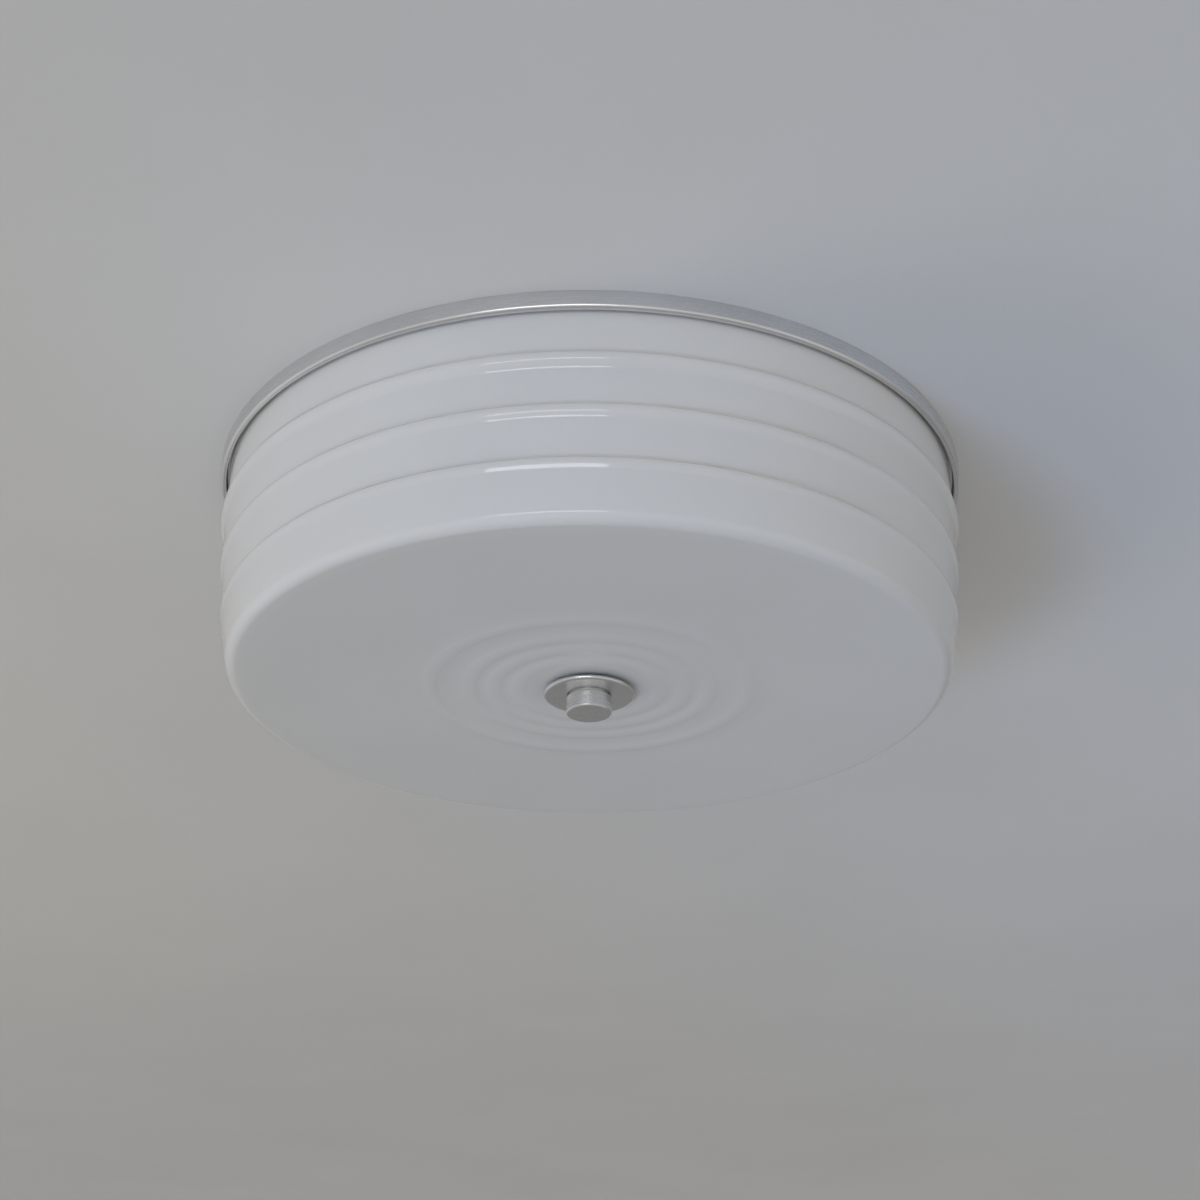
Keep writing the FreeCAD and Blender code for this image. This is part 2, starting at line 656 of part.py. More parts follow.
def outer_wall():
    """The shade's outside from neck to bottom corner. Each rib has a tight shoulder out
    from its valley, a rounded crest, a straight flank and a cove into the wall."""
    corners = [valley(0)]
    for k in range(3):
        crest, upper, lower, end = rib(k)
        radius, level = valley(k)
        rise = f"({crest[0]} - {radius})"
        shoulder_arc = f"({rise} ^ 2 + shoulder ^ 2) / (2 * {rise})"
        corners.append((*crest, shoulder_arc, -1))
        corners.append((*upper, "crest_round", -1))
        corners.append(lower)
        corners.append((*end, "cove", 1))
        corners.append(valley(k + 1))
    reach = "sqrt(corner ^ 2 - (corner - foot_height) ^ 2)"
    corners.append((f"{valley(3)[0]} - {reach}", "(-shade_bottom)", "corner", -1))
    return corners


def inner_wall():
    """The shade's inside from neck to floor, in straight runs that follow the ribs."""
    inset = "glass_wall"
    drop = "glass_wall / 3"
    corners = []
    for k in range(3):
        for radius, level in (valley(k), rib(k)[0]):
            corners.append((f"{radius} - {inset}", f"{level} - {drop}"))
    radius, level = valley(3)
    corners.append((f"{radius} - {inset}", f"{level} + {drop}"))
    corners.append((f"{radius} - {inset} - glass_wall", "(-shade_bottom + glass_wall)"))
    return corners


def ripples():
    """The raised rings on the bottom, from the outer one in to the seat."""
    corners = []
    arc = "(ripple_half ^ 2 + ripple_height ^ 2) / (2 * ripple_height)"
    level = f"({SEAT})"
    for name in ("ripple1", "ripple2", "ripple3", "ripple4"):
        corners.append((f"{name} + ripple_half", level))
        corners.append((f"{name} - ripple_half", level, arc, -1))
    return corners


def make_shade():
    """The pressed glass drum: neck, three ribs, rounded corner, rippled bottom, hole."""
    rim = f"({PLATE_FACE} - shade_gap)"
    corners = [(NECK, rim)]
    corners += outer_wall()
    corners += ripples()
    corners += [(SHADE_HOLE, SEAT), (SHADE_HOLE, SHADE_FLOOR)]
    corners += inner_wall()[::-1]
    corners.append((f"{NECK} - glass_wall", rim))
    turned("shade", corners)


make_shade()


def make_finial():
    """Grommet, gasket, washer and knob, from the inside of the shade down."""
    turned(
        "shade_grommet",
        [
            (GROMMET, SEAT),
            (GROMMET, SHADE_FLOOR),
            (f"{SHADE_HOLE} + grommet_lip", SHADE_FLOOR),
            (f"{SHADE_HOLE} + grommet_lip", f"{SHADE_FLOOR} + grommet_gauge"),
            (ROD_ROOM, f"{SHADE_FLOOR} + grommet_gauge"),
            (ROD_ROOM, SEAT),
        ],
    )
    ring("shade_gasket", ROD_ROOM, "gasket_radius", GASKET_FOOT, SEAT)
    half = "disc_gauge / 2"
    turned(
        "finial_washer",
        [
            (ROD_ROOM, DISC_FOOT),
            (f"disc_radius - {half}", DISC_FOOT),
            ("disc_radius", f"{DISC_FOOT} + {half}", half, 1),
            (f"disc_radius - {half}", GASKET_FOOT, half, 1),
            (ROD_ROOM, GASKET_FOOT),
        ],
    )
    turned(
        "finial_knob",
        [
            ("0", KNOB_FOOT),
            ("knob_radius - knob_chamfer", KNOB_FOOT),
            ("knob_radius", f"{KNOB_FOOT} + knob_chamfer"),
            ("knob_radius", f"{DISC_FOOT} - undercut_height"),
            ("knob_radius - undercut", f"{DISC_FOOT} - undercut_height"),
            ("knob_radius - undercut", DISC_FOOT),
            ("rod_radius + knob_fit", DISC_FOOT),
            ("rod_radius + knob_fit", f"{KNOB_FOOT} + knob_crown"),
            ("0", f"{KNOB_FOOT} + knob_crown"),
        ],
    )


make_finial()


# ------------------------------------------------------------------ lampholders

ALONG = V(0, 1, 0)
TERMINAL_FLOOR = f"({HOLDER} - terminal_depth)"
TERMINAL_SPOT = f"(-{HOLDER_LENGTH} + terminal_length - terminal_screw_in)"


def at_lampholder(thing, number):
    """Set a piece drawn along Z, mouth at its origin, on lampholder 1 or 2."""
    if number == 1:
        place(thing, "-mouth_reach", LAMP_SIDE, LAMP_LEVEL, ALONG, 90)
    else:
        place(thing, "mouth_reach", f"-{LAMP_SIDE}", LAMP_LEVEL, ALONG, -90)


def make_lampholder(number):
    """Porcelain body, brass screw shell and centre contact."""
    body = turned(
        f"socket_body_{number}",
        [
            ("0", f"-{HOLDER_LENGTH}"),
            (HOLDER, f"-{HOLDER_LENGTH}"),
            (HOLDER, "-mouth_length - mouth_step"),
            (MOUTH_END, "-mouth_length"),
            (MOUTH_END, "-mouth_edge"),
            (f"{MOUTH_END} - mouth_edge", "0", "mouth_edge", 1),
            (CAVITY, "0"),
            (CAVITY, "-cavity_depth"),
            ("0", "-cavity_depth"),
        ],
    )
    # the body's own X points down in lampholder 1 and up in lampholder 2
    down = "" if number == 1 else "-"
    up = "-" if number == 1 else ""
    slots = new_sketch(body, "terminals", "XY_Plane", f"-{HOLDER_LENGTH}")
    for side in ("-terminal_side", "terminal_side"):
        edges = (f"{up}{MOUTH_END}", f"{up}{TERMINAL_FLOOR}")
        low, high = edges if number == 1 else edges[::-1]
        rectangle(slots, low, high, f"{side} - terminal_width / 2", f"{side} + terminal_width / 2")
    cut(body, slots, "terminal_length", reverse=True)
    wells = new_sketch(body, "terminal_wells", "YZ_Plane", f"{up}{TERMINAL_FLOOR}")
    for side in ("-terminal_side", "terminal_side"):
        circle(wells, side, TERMINAL_SPOT, "terminal_screw_radius + rivet_fit")
    well_depth = "terminal_screw_length + socket_screw_end"
    cut(body, wells, well_depth, reverse=number == 1)
    holes = new_sketch(body, "screw_holes", "XY_Plane", f"-{HOLDER_LENGTH}")
    for side in ("-socket_screw_side", "socket_screw_side"):
        circle(holes, f"{down}socket_screw_drop", side, "socket_screw_radius + rivet_fit")
    cut(body, holes, "socket_screw_length + socket_screw_end", reverse=True)
    at_lampholder(body, number)

    shell = turned(
        f"screw_shell_{number}",
        [
            ("shell_radius", "-shell_set"),
            ("shell_radius - shell_gauge", "-shell_set"),
            ("shell_radius - shell_gauge", f"{SHELL_END} + shell_gauge"),
            ("shell_hole", f"{SHELL_END} + shell_gauge"),
            ("shell_hole", SHELL_END),
            ("shell_radius", SHELL_END),
        ],
    )
    at_lampholder(shell, number)

    contact = new_body(f"centre_contact_{number}")
    tongue = new_sketch(contact, "tongue", "XZ_Plane")
    floor = "-cavity_depth"
    top = f"{floor} + contact_rise"
    outline(
        tongue,
        [
            ("contact_foot", floor),
            ("contact_foot", f"{floor} + contact_gauge"),
            ("0", f"{floor} + contact_gauge"),
            ("-contact_slope", top),
            ("-contact_reach", top),
            ("-contact_reach", f"{top} - contact_gauge"),
            ("-contact_slope", f"{top} - contact_gauge"),
            ("0", floor),
        ],
    )
    pad(contact, tongue, "contact_width", midplane=True)
    at_lampholder(contact, number)


for number in (1, 2):
    make_lampholder(number)


def make_bracket(number):
    """A bent angle: foot on the pan's plate, leg down behind the lampholder."""
    body = new_body(f"socket_bracket_{number}")
    sign = "-" if number == 1 else ""
    back = f"{sign}{BRACKET_BACK}"
    face = f"{sign}{HOLDER_BACK}"
    toe = f"{sign}({BRACKET_BACK} + bracket_foot)"
    leg_foot = f"({LAMP_LEVEL} - bracket_below)"
    inner = f"({PLATE_FACE} - bracket_gauge)"
    section = new_sketch(body, "section", "XZ_Plane")
    way, turn = ("-", 1) if number == 1 else ("+", -1)
    round_out = "(bracket_bend + bracket_gauge)"
    corners = [
        (face, f"{PLATE_FACE} - {round_out}"),
        (f"{face} {way} {round_out}", PLATE_FACE, round_out, turn),
        (toe, PLATE_FACE),
        (toe, inner),
        (f"{back} {way} bracket_bend", inner),
        (back, f"{inner} - bracket_bend", "bracket_bend", -turn),
        (back, leg_foot),
        (face, leg_foot),
    ]
    outline(section, corners)
    pad(body, section, "bracket_width", midplane=True)
    holes = new_sketch(body, "rivet_holes", "XY_Plane")
    for side in ("-rivet_side", "rivet_side"):
        circle(holes, f"{sign}{RIVET_REACH}", side, "rivet_radius + rivet_fit")
    cut(body, holes)
    leg = new_sketch(body, "screw_holes", "YZ_Plane")
    for side in ("-socket_screw_side", "socket_screw_side"):
        circle(leg, side, f"{LAMP_LEVEL} - socket_screw_drop", "socket_screw_radius + rivet_fit")
    cut(body, leg)
    place(body, "0", LAMP_SIDE if number == 1 else f"-{LAMP_SIDE}", "0")


for number in (1, 2):
    make_bracket(number)


def make_rivets():
    rivets = []
    grip = "(gauge + bracket_gauge)"
    for i, (x, y) in enumerate(RIVET_SPOTS, start=1):
        rivet = turned(
            f"bracket_rivet_{i}",
            [
                ("0", "-rivet_head_height"),
                ("rivet_head * 0.6", "-rivet_head_height"),
                ("rivet_head", "0"),
                ("rivet_radius", "0"),
                ("rivet_radius", grip),
                ("rivet_tail", grip),
                ("rivet_tail", f"{grip} + rivet_tail_height"),
                ("0", f"{grip} + rivet_tail_height"),
            ],
        )
        place(rivet, x, y, f"{PLATE_FACE} - bracket_gauge")
        rivets.append(rivet)
    group("bracket_rivets", rivets)


make_rivets()


def make_socket_screws():
    """The screws through each bracket into the back of its lampholder."""
    corners = screw_corners(
        "socket_screw_radius",
        "socket_screw_head",
        "socket_screw_head_height",
        "socket_screw_length",
    )
    level = f"{LAMP_LEVEL} - socket_screw_drop"
    screws = []
    for sign, other, turn in (("-", "", 90), ("", "-", -90)):
        for step in ("+", "-"):
            screw = turned(f"socket_screw_{len(screws) + 1}", corners)
            y = f"{other}{LAMP_SIDE} {step} socket_screw_side"
            place(screw, f"{sign}{BRACKET_BACK}", y, level, ALONG, turn)
            screws.append(screw)
    group("socket_screws", screws)


make_socket_screws()


def make_terminal_screws():
    """The screws beside the leads in the terminal slots, heads up."""
    corners = screw_corners(
        "terminal_screw_radius",
        "terminal_screw_head",
        "terminal_screw_head_height",
        "terminal_screw_length",
    )
    screws = []
    for sign, other in (("-", ""), ("", "-")):
        for step in ("+", "-"):
            screw = turned(f"terminal_screw_{len(screws) + 1}", corners)
            x = f"{sign}(mouth_reach - {TERMINAL_SPOT})"
            y = f"{other}{LAMP_SIDE} {step} terminal_side"
            place(screw, x, y, f"{LAMP_LEVEL} + {TERMINAL_FLOOR}", V(1, 0, 0), 180)
            screws.append(screw)
    group("terminal_screws", screws)


make_terminal_screws()


# ------------------------------------------------------------------ bulbs


def globe_corners():
    """The globe's outline from its neck to its crown: a flare into a ball."""
    centre = "(globe_reach - globe_radius)"
    rise = f"sqrt((globe_flare + globe_radius) ^ 2 - (globe_flare + {GLOBE_NECK}) ^ 2)"
    share = "(globe_radius / (globe_flare + globe_radius))"
    return [
        (GLOBE_NECK, f"({centre} - {rise})"),
        (
            f"({share} * (globe_flare + {GLOBE_NECK}))",
            f"({centre} - {share} * {rise})",
            "globe_flare",
            -1,
        ),
        ("0", "globe_reach", "globe_radius", 1),
    ]


def globe_hollow():
    """The space in the globe, from its crown back to its neck, in straight runs."""
    centre = "(globe_reach - globe_radius)"
    ball = "(globe_radius - globe_wall)"
    rise = f"sqrt((globe_flare + globe_radius) ^ 2 - (globe_flare + {GLOBE_NECK}) ^ 2)"
    run = f"({rise} * globe_flare / (globe_flare + globe_radius))"
    corners = []
    for angle in (90, 65, 40, 15, -10):
        corners.append((f"{ball} * cos({angle})", f"{centre} + {ball} * sin({angle})"))
    for share in (1, 0.67, 0.33, 0):
        up = f"({share} * {run})"
        radius = f"{GLOBE_NECK} + globe_flare - sqrt(globe_flare ^ 2 - {up} ^ 2) - globe_wall"
        corners.append((radius, f"{centre} - {rise} + {up}"))
    corners.append((f"{GLOBE_NECK} - globe_wall", "0"))
    return corners


def make_bulb(number):
    globe = turned(
        f"bulb_globe_{number}",
        [(GLOBE_NECK, "0")] + globe_corners() + globe_hollow(),
    )
    at_lampholder(globe, number)
    cap = turned(
        f"bulb_cap_{number}",
        [
            (CAP, CAP_END),
            (CAP, "cap_out"),
            (f"{CAP} - cap_gauge", "cap_out"),
            (f"{CAP} - cap_gauge", f"{CAP_END} + cap_gauge"),
            (INSULATOR, f"{CAP_END} + cap_gauge"),
            (INSULATOR, CAP_END),
        ],
    )
    at_lampholder(cap, number)
    insulator = turned(
        f"bulb_insulator_{number}",
        [
            ("0", f"{TIP_END} + tip_gauge"),
            ("tip_radius + tip_edge", f"{TIP_END} + tip_gauge"),
            (INSULATOR, CAP_END),
            (INSULATOR, f"{CAP_END} + insulator_inside"),
            ("0", f"{CAP_END} + insulator_inside"),
        ],
    )
    at_lampholder(insulator, number)
    tip = turned(
        f"bulb_tip_{number}",
        [
            ("0", TIP_END),
            ("tip_radius * 0.6", TIP_END),
            ("tip_radius", f"{TIP_END} + tip_gauge / 2"),
            ("tip_radius", f"{TIP_END} + tip_gauge"),
            ("0", f"{TIP_END} + tip_gauge"),
        ],
    )
    at_lampholder(tip, number)


for number in (1, 2):
    make_bulb(number)


# ------------------------------------------------------------------ wiring


def make_bushings():
    bushings = []
    for i, (x, y) in enumerate(BUSHING_SPOTS, start=1):
        bushing = turned(
            f"lead_bushing_{i}",
            [
                (BUSHING_BORE, "-bushing_flange_gauge"),
                (f"{BUSHING_HOLE} + bushing_lip", "-bushing_flange_gauge"),
                (f"{BUSHING_HOLE} + bushing_lip", "0"),
                (BUSHING, "0"),
                (BUSHING, "gauge + bushing_stand"),
                (BUSHING_BORE, "gauge + bushing_stand"),
            ],
        )
        place(bushing, x, y, FLOOR_FACE)
        bushings.append(bushing)
    group("lead_bushings", bushings)


make_bushings()


def make_connectors():
    """Two twist-on connectors lying in the recess, mouths towards their leads."""
    connectors = []
    for number in (1, 2):
        connector = turned(
            f"wire_connector_{number}",
            [
                ("0", "connector_length"),
                ("0", "connector_hollow"),
                ("connector_mouth - connector_wall - connector_draft", "connector_hollow"),
                ("connector_mouth - connector_wall", "0"),
                ("connector_mouth", "0"),
                ("connector_tip", "connector_length"),
            ],
        )
        if number == 1:
            place(connector, "-connector_reach", "connector_side", CONNECTOR_LEVEL, ALONG, 90)
        else:
            place(connector, "connector_reach", "-connector_side", CONNECTOR_LEVEL, ALONG, -90)
        connectors.append(connector)
    group("wire_connectors", connectors)


make_connectors()


def rounded_path(places, bend):
    """Straight runs between the places with an arc of the bend radius at each corner."""
    edges = []
    here = places[0]
    for before, corner, after in zip(places, places[1:], places[2:]):
        inward = (corner - before).normalize()
        outward = (after - corner).normalize()
        half_turn = inward.getAngle(outward) / 2
        setback = bend * math.tan(half_turn)
        first = corner - inward * setback
        last = corner + outward * setback
        centre_way = (outward - inward).normalize()
        middle = corner + centre_way * (bend / math.cos(half_turn) - bend)
        edges.append(Part.LineSegment(here, first).toShape())
        edges.append(Part.Arc(first, middle, last).toShape())
        here = last
    edges.append(Part.LineSegment(here, places[-1]).toShape())
    return Part.Wire(edges)


def wire(name, radius, bend, spots):
    """A round wire through the spots (formulas x, y, z), bent at each."""
    places = [V(*(size(text) for text in spot)) for spot in spots]
    path = rounded_path(places, size(bend))
    end = Part.makeCircle(size(radius), places[0], places[1] - places[0])
    feature = doc.addObject("Part::Feature", name)
    feature.Shape = path.makePipeShell([Part.Wire(end)], True, False)
    feature.Label = name
    return feature


def lead_spots(number, long_way):
    """A lead's way: terminal slot, over the lampholder, through its bushing, and in the
    recess to the nearer connector or the long way round to the other one."""
    sign = "+" if long_way else "-"
    start = f"-({HOLDER_BACK} - terminal_length / 2)"
    slot_side = f"{LAMP_SIDE} {sign} terminal_side"
    bushing_side = f"{LAMP_SIDE} {sign} {LEAD_SIDE}"
    level = CONNECTOR_LEVEL
    spots = [
        (start, slot_side, f"{LAMP_LEVEL} + {TERMINAL_FLOOR} + lead_radius"),
        (start, slot_side, LEAD_LEVEL),
        ("-bushing_reach", bushing_side, LEAD_LEVEL),
        ("-bushing_reach", bushing_side, level),
    ]
    if long_way:
        entry = f"-connector_side + {LEAD_SPREAD}"
        spots += [
            ("10", "46", level),
            ("44", "32", level),
            ("54", "0", level),
            ("42", "-24", level),
            ("connector_reach + 10", entry, level),
            ("connector_reach - lead_in", entry, level),
        ]
    else:
        entry = f"connector_side + {LEAD_SPREAD}"
        spots += [
            ("-connector_reach - 10", entry, level),
            ("-connector_reach + lead_in", entry, level),
        ]
    if number == 2:
        spots = [(f"-({x})", f"-({y})", z) for x, y, z in spots]
    return spots


for number in (1, 2):
    # the long way ends in the other lampholder's connector, so like leads meet
    wire(f"black_lead_{number}", "lead_radius", "lead_bend", lead_spots(number, number == 1))
    wire(f"white_lead_{number}", "lead_radius", "lead_bend", lead_spots(number, number == 2))


def make_ground_wire():
    """The bare wire from under the crossbar's ground screw to under the pan's."""
    beside = "(screw_radius + ground_wire_radius + screw_fit)"
    high = "-bar_gauge - ground_wire_radius"
    low = f"{FLOOR_BACK} + ground_wire_radius"
    wire(
        "ground_wire",
        "ground_wire_radius",
        "ground_bend",
        [
            ("ground_reach - ground_tail", beside, high),
            ("ground_reach + ground_tail", beside, high),
            (f"pan_ground_x + {beside}", "pan_ground_y - 1.6 * ground_tail", low),
            (f"pan_ground_x + {beside}", "pan_ground_y + ground_tail", low),
        ],
    )


make_ground_wire()

# ------------------------------------------------------------------ output

doc.recompute()
NODES = [
    "ceiling_pan", "insulation_pad", "crossbar", "canopy_screws", "ground_screws", "ground_wire",
    "threaded_rod", "rod_washers", "rod_nuts", "shade", "shade_grommet", "shade_gasket",
    "finial_washer", "finial_knob", "bracket_rivets", "socket_screws", "terminal_screws",
    "lead_bushings", "wire_connectors",
]
for number in (1, 2):
    NODES += [
        f"socket_body_{number}", f"screw_shell_{number}", f"centre_contact_{number}",
        f"socket_bracket_{number}", f"bulb_globe_{number}", f"bulb_cap_{number}",
        f"bulb_insulator_{number}", f"bulb_tip_{number}", f"black_lead_{number}",
        f"white_lead_{number}",
    ]
for thing in doc.Objects:
    if "Invalid" in thing.State or "Error" in thing.State:
        raise RuntimeError(f"{thing.Name} did not compute: {thing.State}")
for name in NODES:
    shape = doc.getObject(name).Shape
    if shape.isNull() or not shape.isValid():
        raise RuntimeError(f"{name} has no valid shape")
    shape.exportStep(f"parts/{name}.step")
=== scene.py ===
import math

import bmesh
import bpy
from mathutils import Matrix, Vector, noise


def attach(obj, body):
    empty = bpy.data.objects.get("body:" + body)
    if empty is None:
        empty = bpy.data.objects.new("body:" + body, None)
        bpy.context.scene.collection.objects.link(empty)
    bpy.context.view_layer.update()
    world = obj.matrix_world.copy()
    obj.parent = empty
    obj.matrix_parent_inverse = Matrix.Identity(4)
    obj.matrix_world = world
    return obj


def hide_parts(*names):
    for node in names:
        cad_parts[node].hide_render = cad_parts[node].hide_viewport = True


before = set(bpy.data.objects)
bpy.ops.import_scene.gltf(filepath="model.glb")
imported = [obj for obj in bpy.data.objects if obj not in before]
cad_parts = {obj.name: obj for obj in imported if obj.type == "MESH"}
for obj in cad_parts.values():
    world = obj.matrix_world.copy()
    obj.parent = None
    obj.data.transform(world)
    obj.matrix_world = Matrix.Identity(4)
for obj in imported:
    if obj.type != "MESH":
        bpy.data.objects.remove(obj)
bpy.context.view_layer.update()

# A flush mount ceiling light, seen from below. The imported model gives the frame. This
# script adds finer pieces where the real ones are rounded, threaded, slotted, fluted or
# soft, and gives every surface its material. Pieces are drawn in millimetres, outlines as
# (radius, height); the camera, the lights and the stage are placed in metres.

MM = 0.001
TAU = 2 * math.pi

# ------------------------------------------------------------------ materials

LATHE_LINES = 1500.0  # turned marks in a metre of radius
LATHE_DRIFT = 0.3  # how much the marks change round the axis
LATHE_SLANT = 0.73  # share of the height that counts like radius
BARE_METAL = {"Metallic": 1.0}

# Each slot's dark and light colour, clouds in a metre, range of roughness, grains in a
# metre, depth of the grain in metres, and its other sockets.
MOTTLED = {
    "green_steel": (
        (0.03, 0.16, 0.06), (0.07, 0.30, 0.12), 150.0, (0.28, 0.5), 700.0, 0.00001,
        {"Metallic": 0.75},
    ),
    "brass": (
        (0.50, 0.34, 0.13), (0.76, 0.56, 0.27), 110.0, (0.22, 0.42), 800.0, 0.000008, BARE_METAL,
    ),
    "porcelain": (
        (0.74, 0.72, 0.67), (0.84, 0.83, 0.79), 60.0, (0.16, 0.30), 240.0, 0.00004,
        {"Coat Weight": 0.6, "Coat Roughness": 0.08},
    ),
    "frosted_glass": (
        (0.82, 0.83, 0.84), (0.90, 0.91, 0.92), 40.0, (0.34, 0.46), 1500.0, 0.00001,
        {"Subsurface Weight": 0.3, "Subsurface Scale": 0.003},
    ),
    "cap_metal": (
        (0.60, 0.61, 0.62), (0.78, 0.79, 0.80), 120.0, (0.24, 0.42), 600.0, 0.000012, BARE_METAL,
    ),
    "black_glass": (
        (0.006, 0.006, 0.008), (0.03, 0.03, 0.035), 300.0, (0.08, 0.2), 500.0, 0.00002, {},
    ),
    "solder": (
        (0.42, 0.42, 0.41), (0.66, 0.66, 0.65), 500.0, (0.25, 0.55), 900.0, 0.00006, BARE_METAL,
    ),
    "rubber": (
        (0.018, 0.018, 0.02), (0.05, 0.05, 0.052), 200.0, (0.6, 0.8), 1400.0, 0.00004, {},
    ),
    "white_plastic": (
        (0.66, 0.66, 0.64), (0.76, 0.76, 0.74), 180.0, (0.35, 0.5), 1800.0, 0.00002, {},
    ),
    "black_plastic": (
        (0.015, 0.015, 0.016), (0.045, 0.045, 0.048), 180.0, (0.35, 0.5), 1800.0, 0.00002, {},
    ),
    "black_insulation": (
        (0.012, 0.012, 0.013), (0.04, 0.04, 0.042), 240.0, (0.3, 0.48), 1100.0, 0.00003, {},
    ),
    "white_insulation": (
        (0.62, 0.62, 0.60), (0.76, 0.76, 0.74), 240.0, (0.3, 0.48), 1100.0, 0.00003, {},
    ),
    "orange_plastic": (
        (0.62, 0.15, 0.015), (0.78, 0.24, 0.03), 160.0, (0.32, 0.48), 1500.0, 0.00002, {},
    ),
    "copper": (
        (0.46, 0.20, 0.11), (0.80, 0.44, 0.28), 90.0, (0.25, 0.42), 900.0, 0.00002, BARE_METAL,
    ),
}


def link(tree, source, target):
    tree.links.new(source, target)


def add(tree, kind, **settings):
    made = tree.nodes.new(kind)
    for key, value in settings.items():
        setattr(made, key, value)
    return made


def coordinates(tree, stretch=(1, 1, 1)):
    """The piece's own coordinates, stretched."""
    place = add(tree, "ShaderNodeTexCoord")
    mapping = add(tree, "ShaderNodeMapping")
    mapping.inputs["Scale"].default_value = stretch
    link(tree, place.outputs["Object"], mapping.inputs["Vector"])
    return mapping.outputs["Vector"]


def turned_coordinates(tree):
    """Coordinates for lathe marks round the Z axis: they change slowly round it and
    fast with radius and height."""
    place = add(tree, "ShaderNodeTexCoord")
    flat = add(tree, "ShaderNodeVectorMath", operation="MULTIPLY")
    flat.inputs[1].default_value = (1.0, 1.0, 0.0)
    link(tree, place.outputs["Object"], flat.inputs[0])
    radius = add(tree, "ShaderNodeVectorMath", operation="LENGTH")
    link(tree, flat.outputs["Vector"], radius.inputs[0])
    parts = add(tree, "ShaderNodeSeparateXYZ")
    link(tree, place.outputs["Object"], parts.inputs[0])
    run = add(tree, "ShaderNodeMath", operation="MULTIPLY_ADD")
    run.inputs[1].default_value = LATHE_SLANT
    link(tree, parts.outputs["Z"], run.inputs[0])
    link(tree, radius.outputs["Value"], run.inputs[2])
    fine = add(tree, "ShaderNodeMath", operation="MULTIPLY")
    fine.inputs[1].default_value = LATHE_LINES
    link(tree, run.outputs[0], fine.inputs[0])
    height = add(tree, "ShaderNodeCombineXYZ")
    link(tree, fine.outputs[0], height.inputs["Z"])
    unit = add(tree, "ShaderNodeVectorMath", operation="NORMALIZE")
    link(tree, flat.outputs["Vector"], unit.inputs[0])
    both = add(tree, "ShaderNodeVectorMath", operation="MULTIPLY_ADD")
    both.inputs[1].default_value = (LATHE_DRIFT, LATHE_DRIFT, LATHE_DRIFT)
    link(tree, unit.outputs["Vector"], both.inputs[0])
    link(tree, height.outputs["Vector"], both.inputs[2])
    return both.outputs["Vector"]


def noise_value(tree, vector, scale, detail=4.0):
    made = add(tree, "ShaderNodeTexNoise")
    made.inputs["Scale"].default_value = scale
    made.inputs["Detail"].default_value = detail
    made.inputs["Roughness"].default_value = 0.5
    link(tree, vector, made.inputs["Vector"])
    return made.outputs["Fac"]


def cell_value(tree, vector, scale):
    """A number that is the same all over one crystal and differs from its neighbours'."""
    made = add(tree, "ShaderNodeTexVoronoi")
    made.inputs["Scale"].default_value = scale
    link(tree, vector, made.inputs["Vector"])
    parts = add(tree, "ShaderNodeSeparateColor")
    link(tree, made.outputs["Color"], parts.inputs[0])
    return parts.outputs[0]


def ramp(tree, value, stops):
    made = add(tree, "ShaderNodeValToRGB")
    elements = made.color_ramp.elements
    while len(elements) < len(stops):
        elements.new(0.5)
    for element, (position, colour) in zip(elements, stops):
        element.position = position
        element.color = (*colour, 1.0)
    link(tree, value, made.inputs["Fac"])
    return made.outputs["Color"]


def spread(tree, value, low, high, start=0.3, end=0.7):
    """The value, carried from the range start to end over to the range low to high."""
    made = add(tree, "ShaderNodeMapRange")
    made.inputs["From Min"].default_value = start
    made.inputs["From Max"].default_value = end
    made.inputs["To Min"].default_value = low
    made.inputs["To Max"].default_value = high
    link(tree, value, made.inputs["Value"])
    return made.outputs["Result"]


def bump(tree, value, distance):
    made = add(tree, "ShaderNodeBump")
    made.inputs["Distance"].default_value = distance
    made.inputs["Strength"].default_value = 1.0
    link(tree, value, made.inputs["Height"])
    return made.outputs["Normal"]


def new_material(name, sockets):
    made = bpy.data.materials.new(name)
    made.use_nodes = True
    shader = made.node_tree.nodes["Principled BSDF"]
    for socket, value in sockets.items():
        shader.inputs[socket].default_value = value
    return made, made.node_tree, shader


def mottled(name, dark, light, scale, rough, grain, depth, sockets):
    """A surface whose colour wanders from dark to light, with its own roughness
    variation and a fine grain."""
    made, tree, shader = new_material(name, sockets)
    vector = coordinates(tree)
    tone = noise_value(tree, vector, scale)
    link(tree, ramp(tree, tone, [(0.3, dark), (0.7, light)]), shader.inputs["Base Color"])
    wear = noise_value(tree, vector, scale * 2.3, detail=6.0)
    link(tree, spread(tree, wear, *rough), shader.inputs["Roughness"])
    fine = noise_value(tree, vector, grain, detail=3.0)
    link(tree, bump(tree, fine, depth), shader.inputs["Normal"])
    return made


def satin_nickel():
    """Satin plated steel with very shallow marks turned round the fixture's axis."""
    made, tree, shader = new_material("satin_nickel", BARE_METAL)
    lines = noise_value(tree, turned_coordinates(tree), 1.0, detail=3.0)
    cloud = noise_value(tree, coordinates(tree), 24.0)
    tones = [(0.3, (0.72, 0.725, 0.73)), (0.7, (0.79, 0.795, 0.805))]
    link(tree, ramp(tree, cloud, tones), shader.inputs["Base Color"])
    link(tree, spread(tree, lines, 0.26, 0.31), shader.inputs["Roughness"])
    link(tree, bump(tree, lines, 0.0000004), shader.inputs["Normal"])
    return made


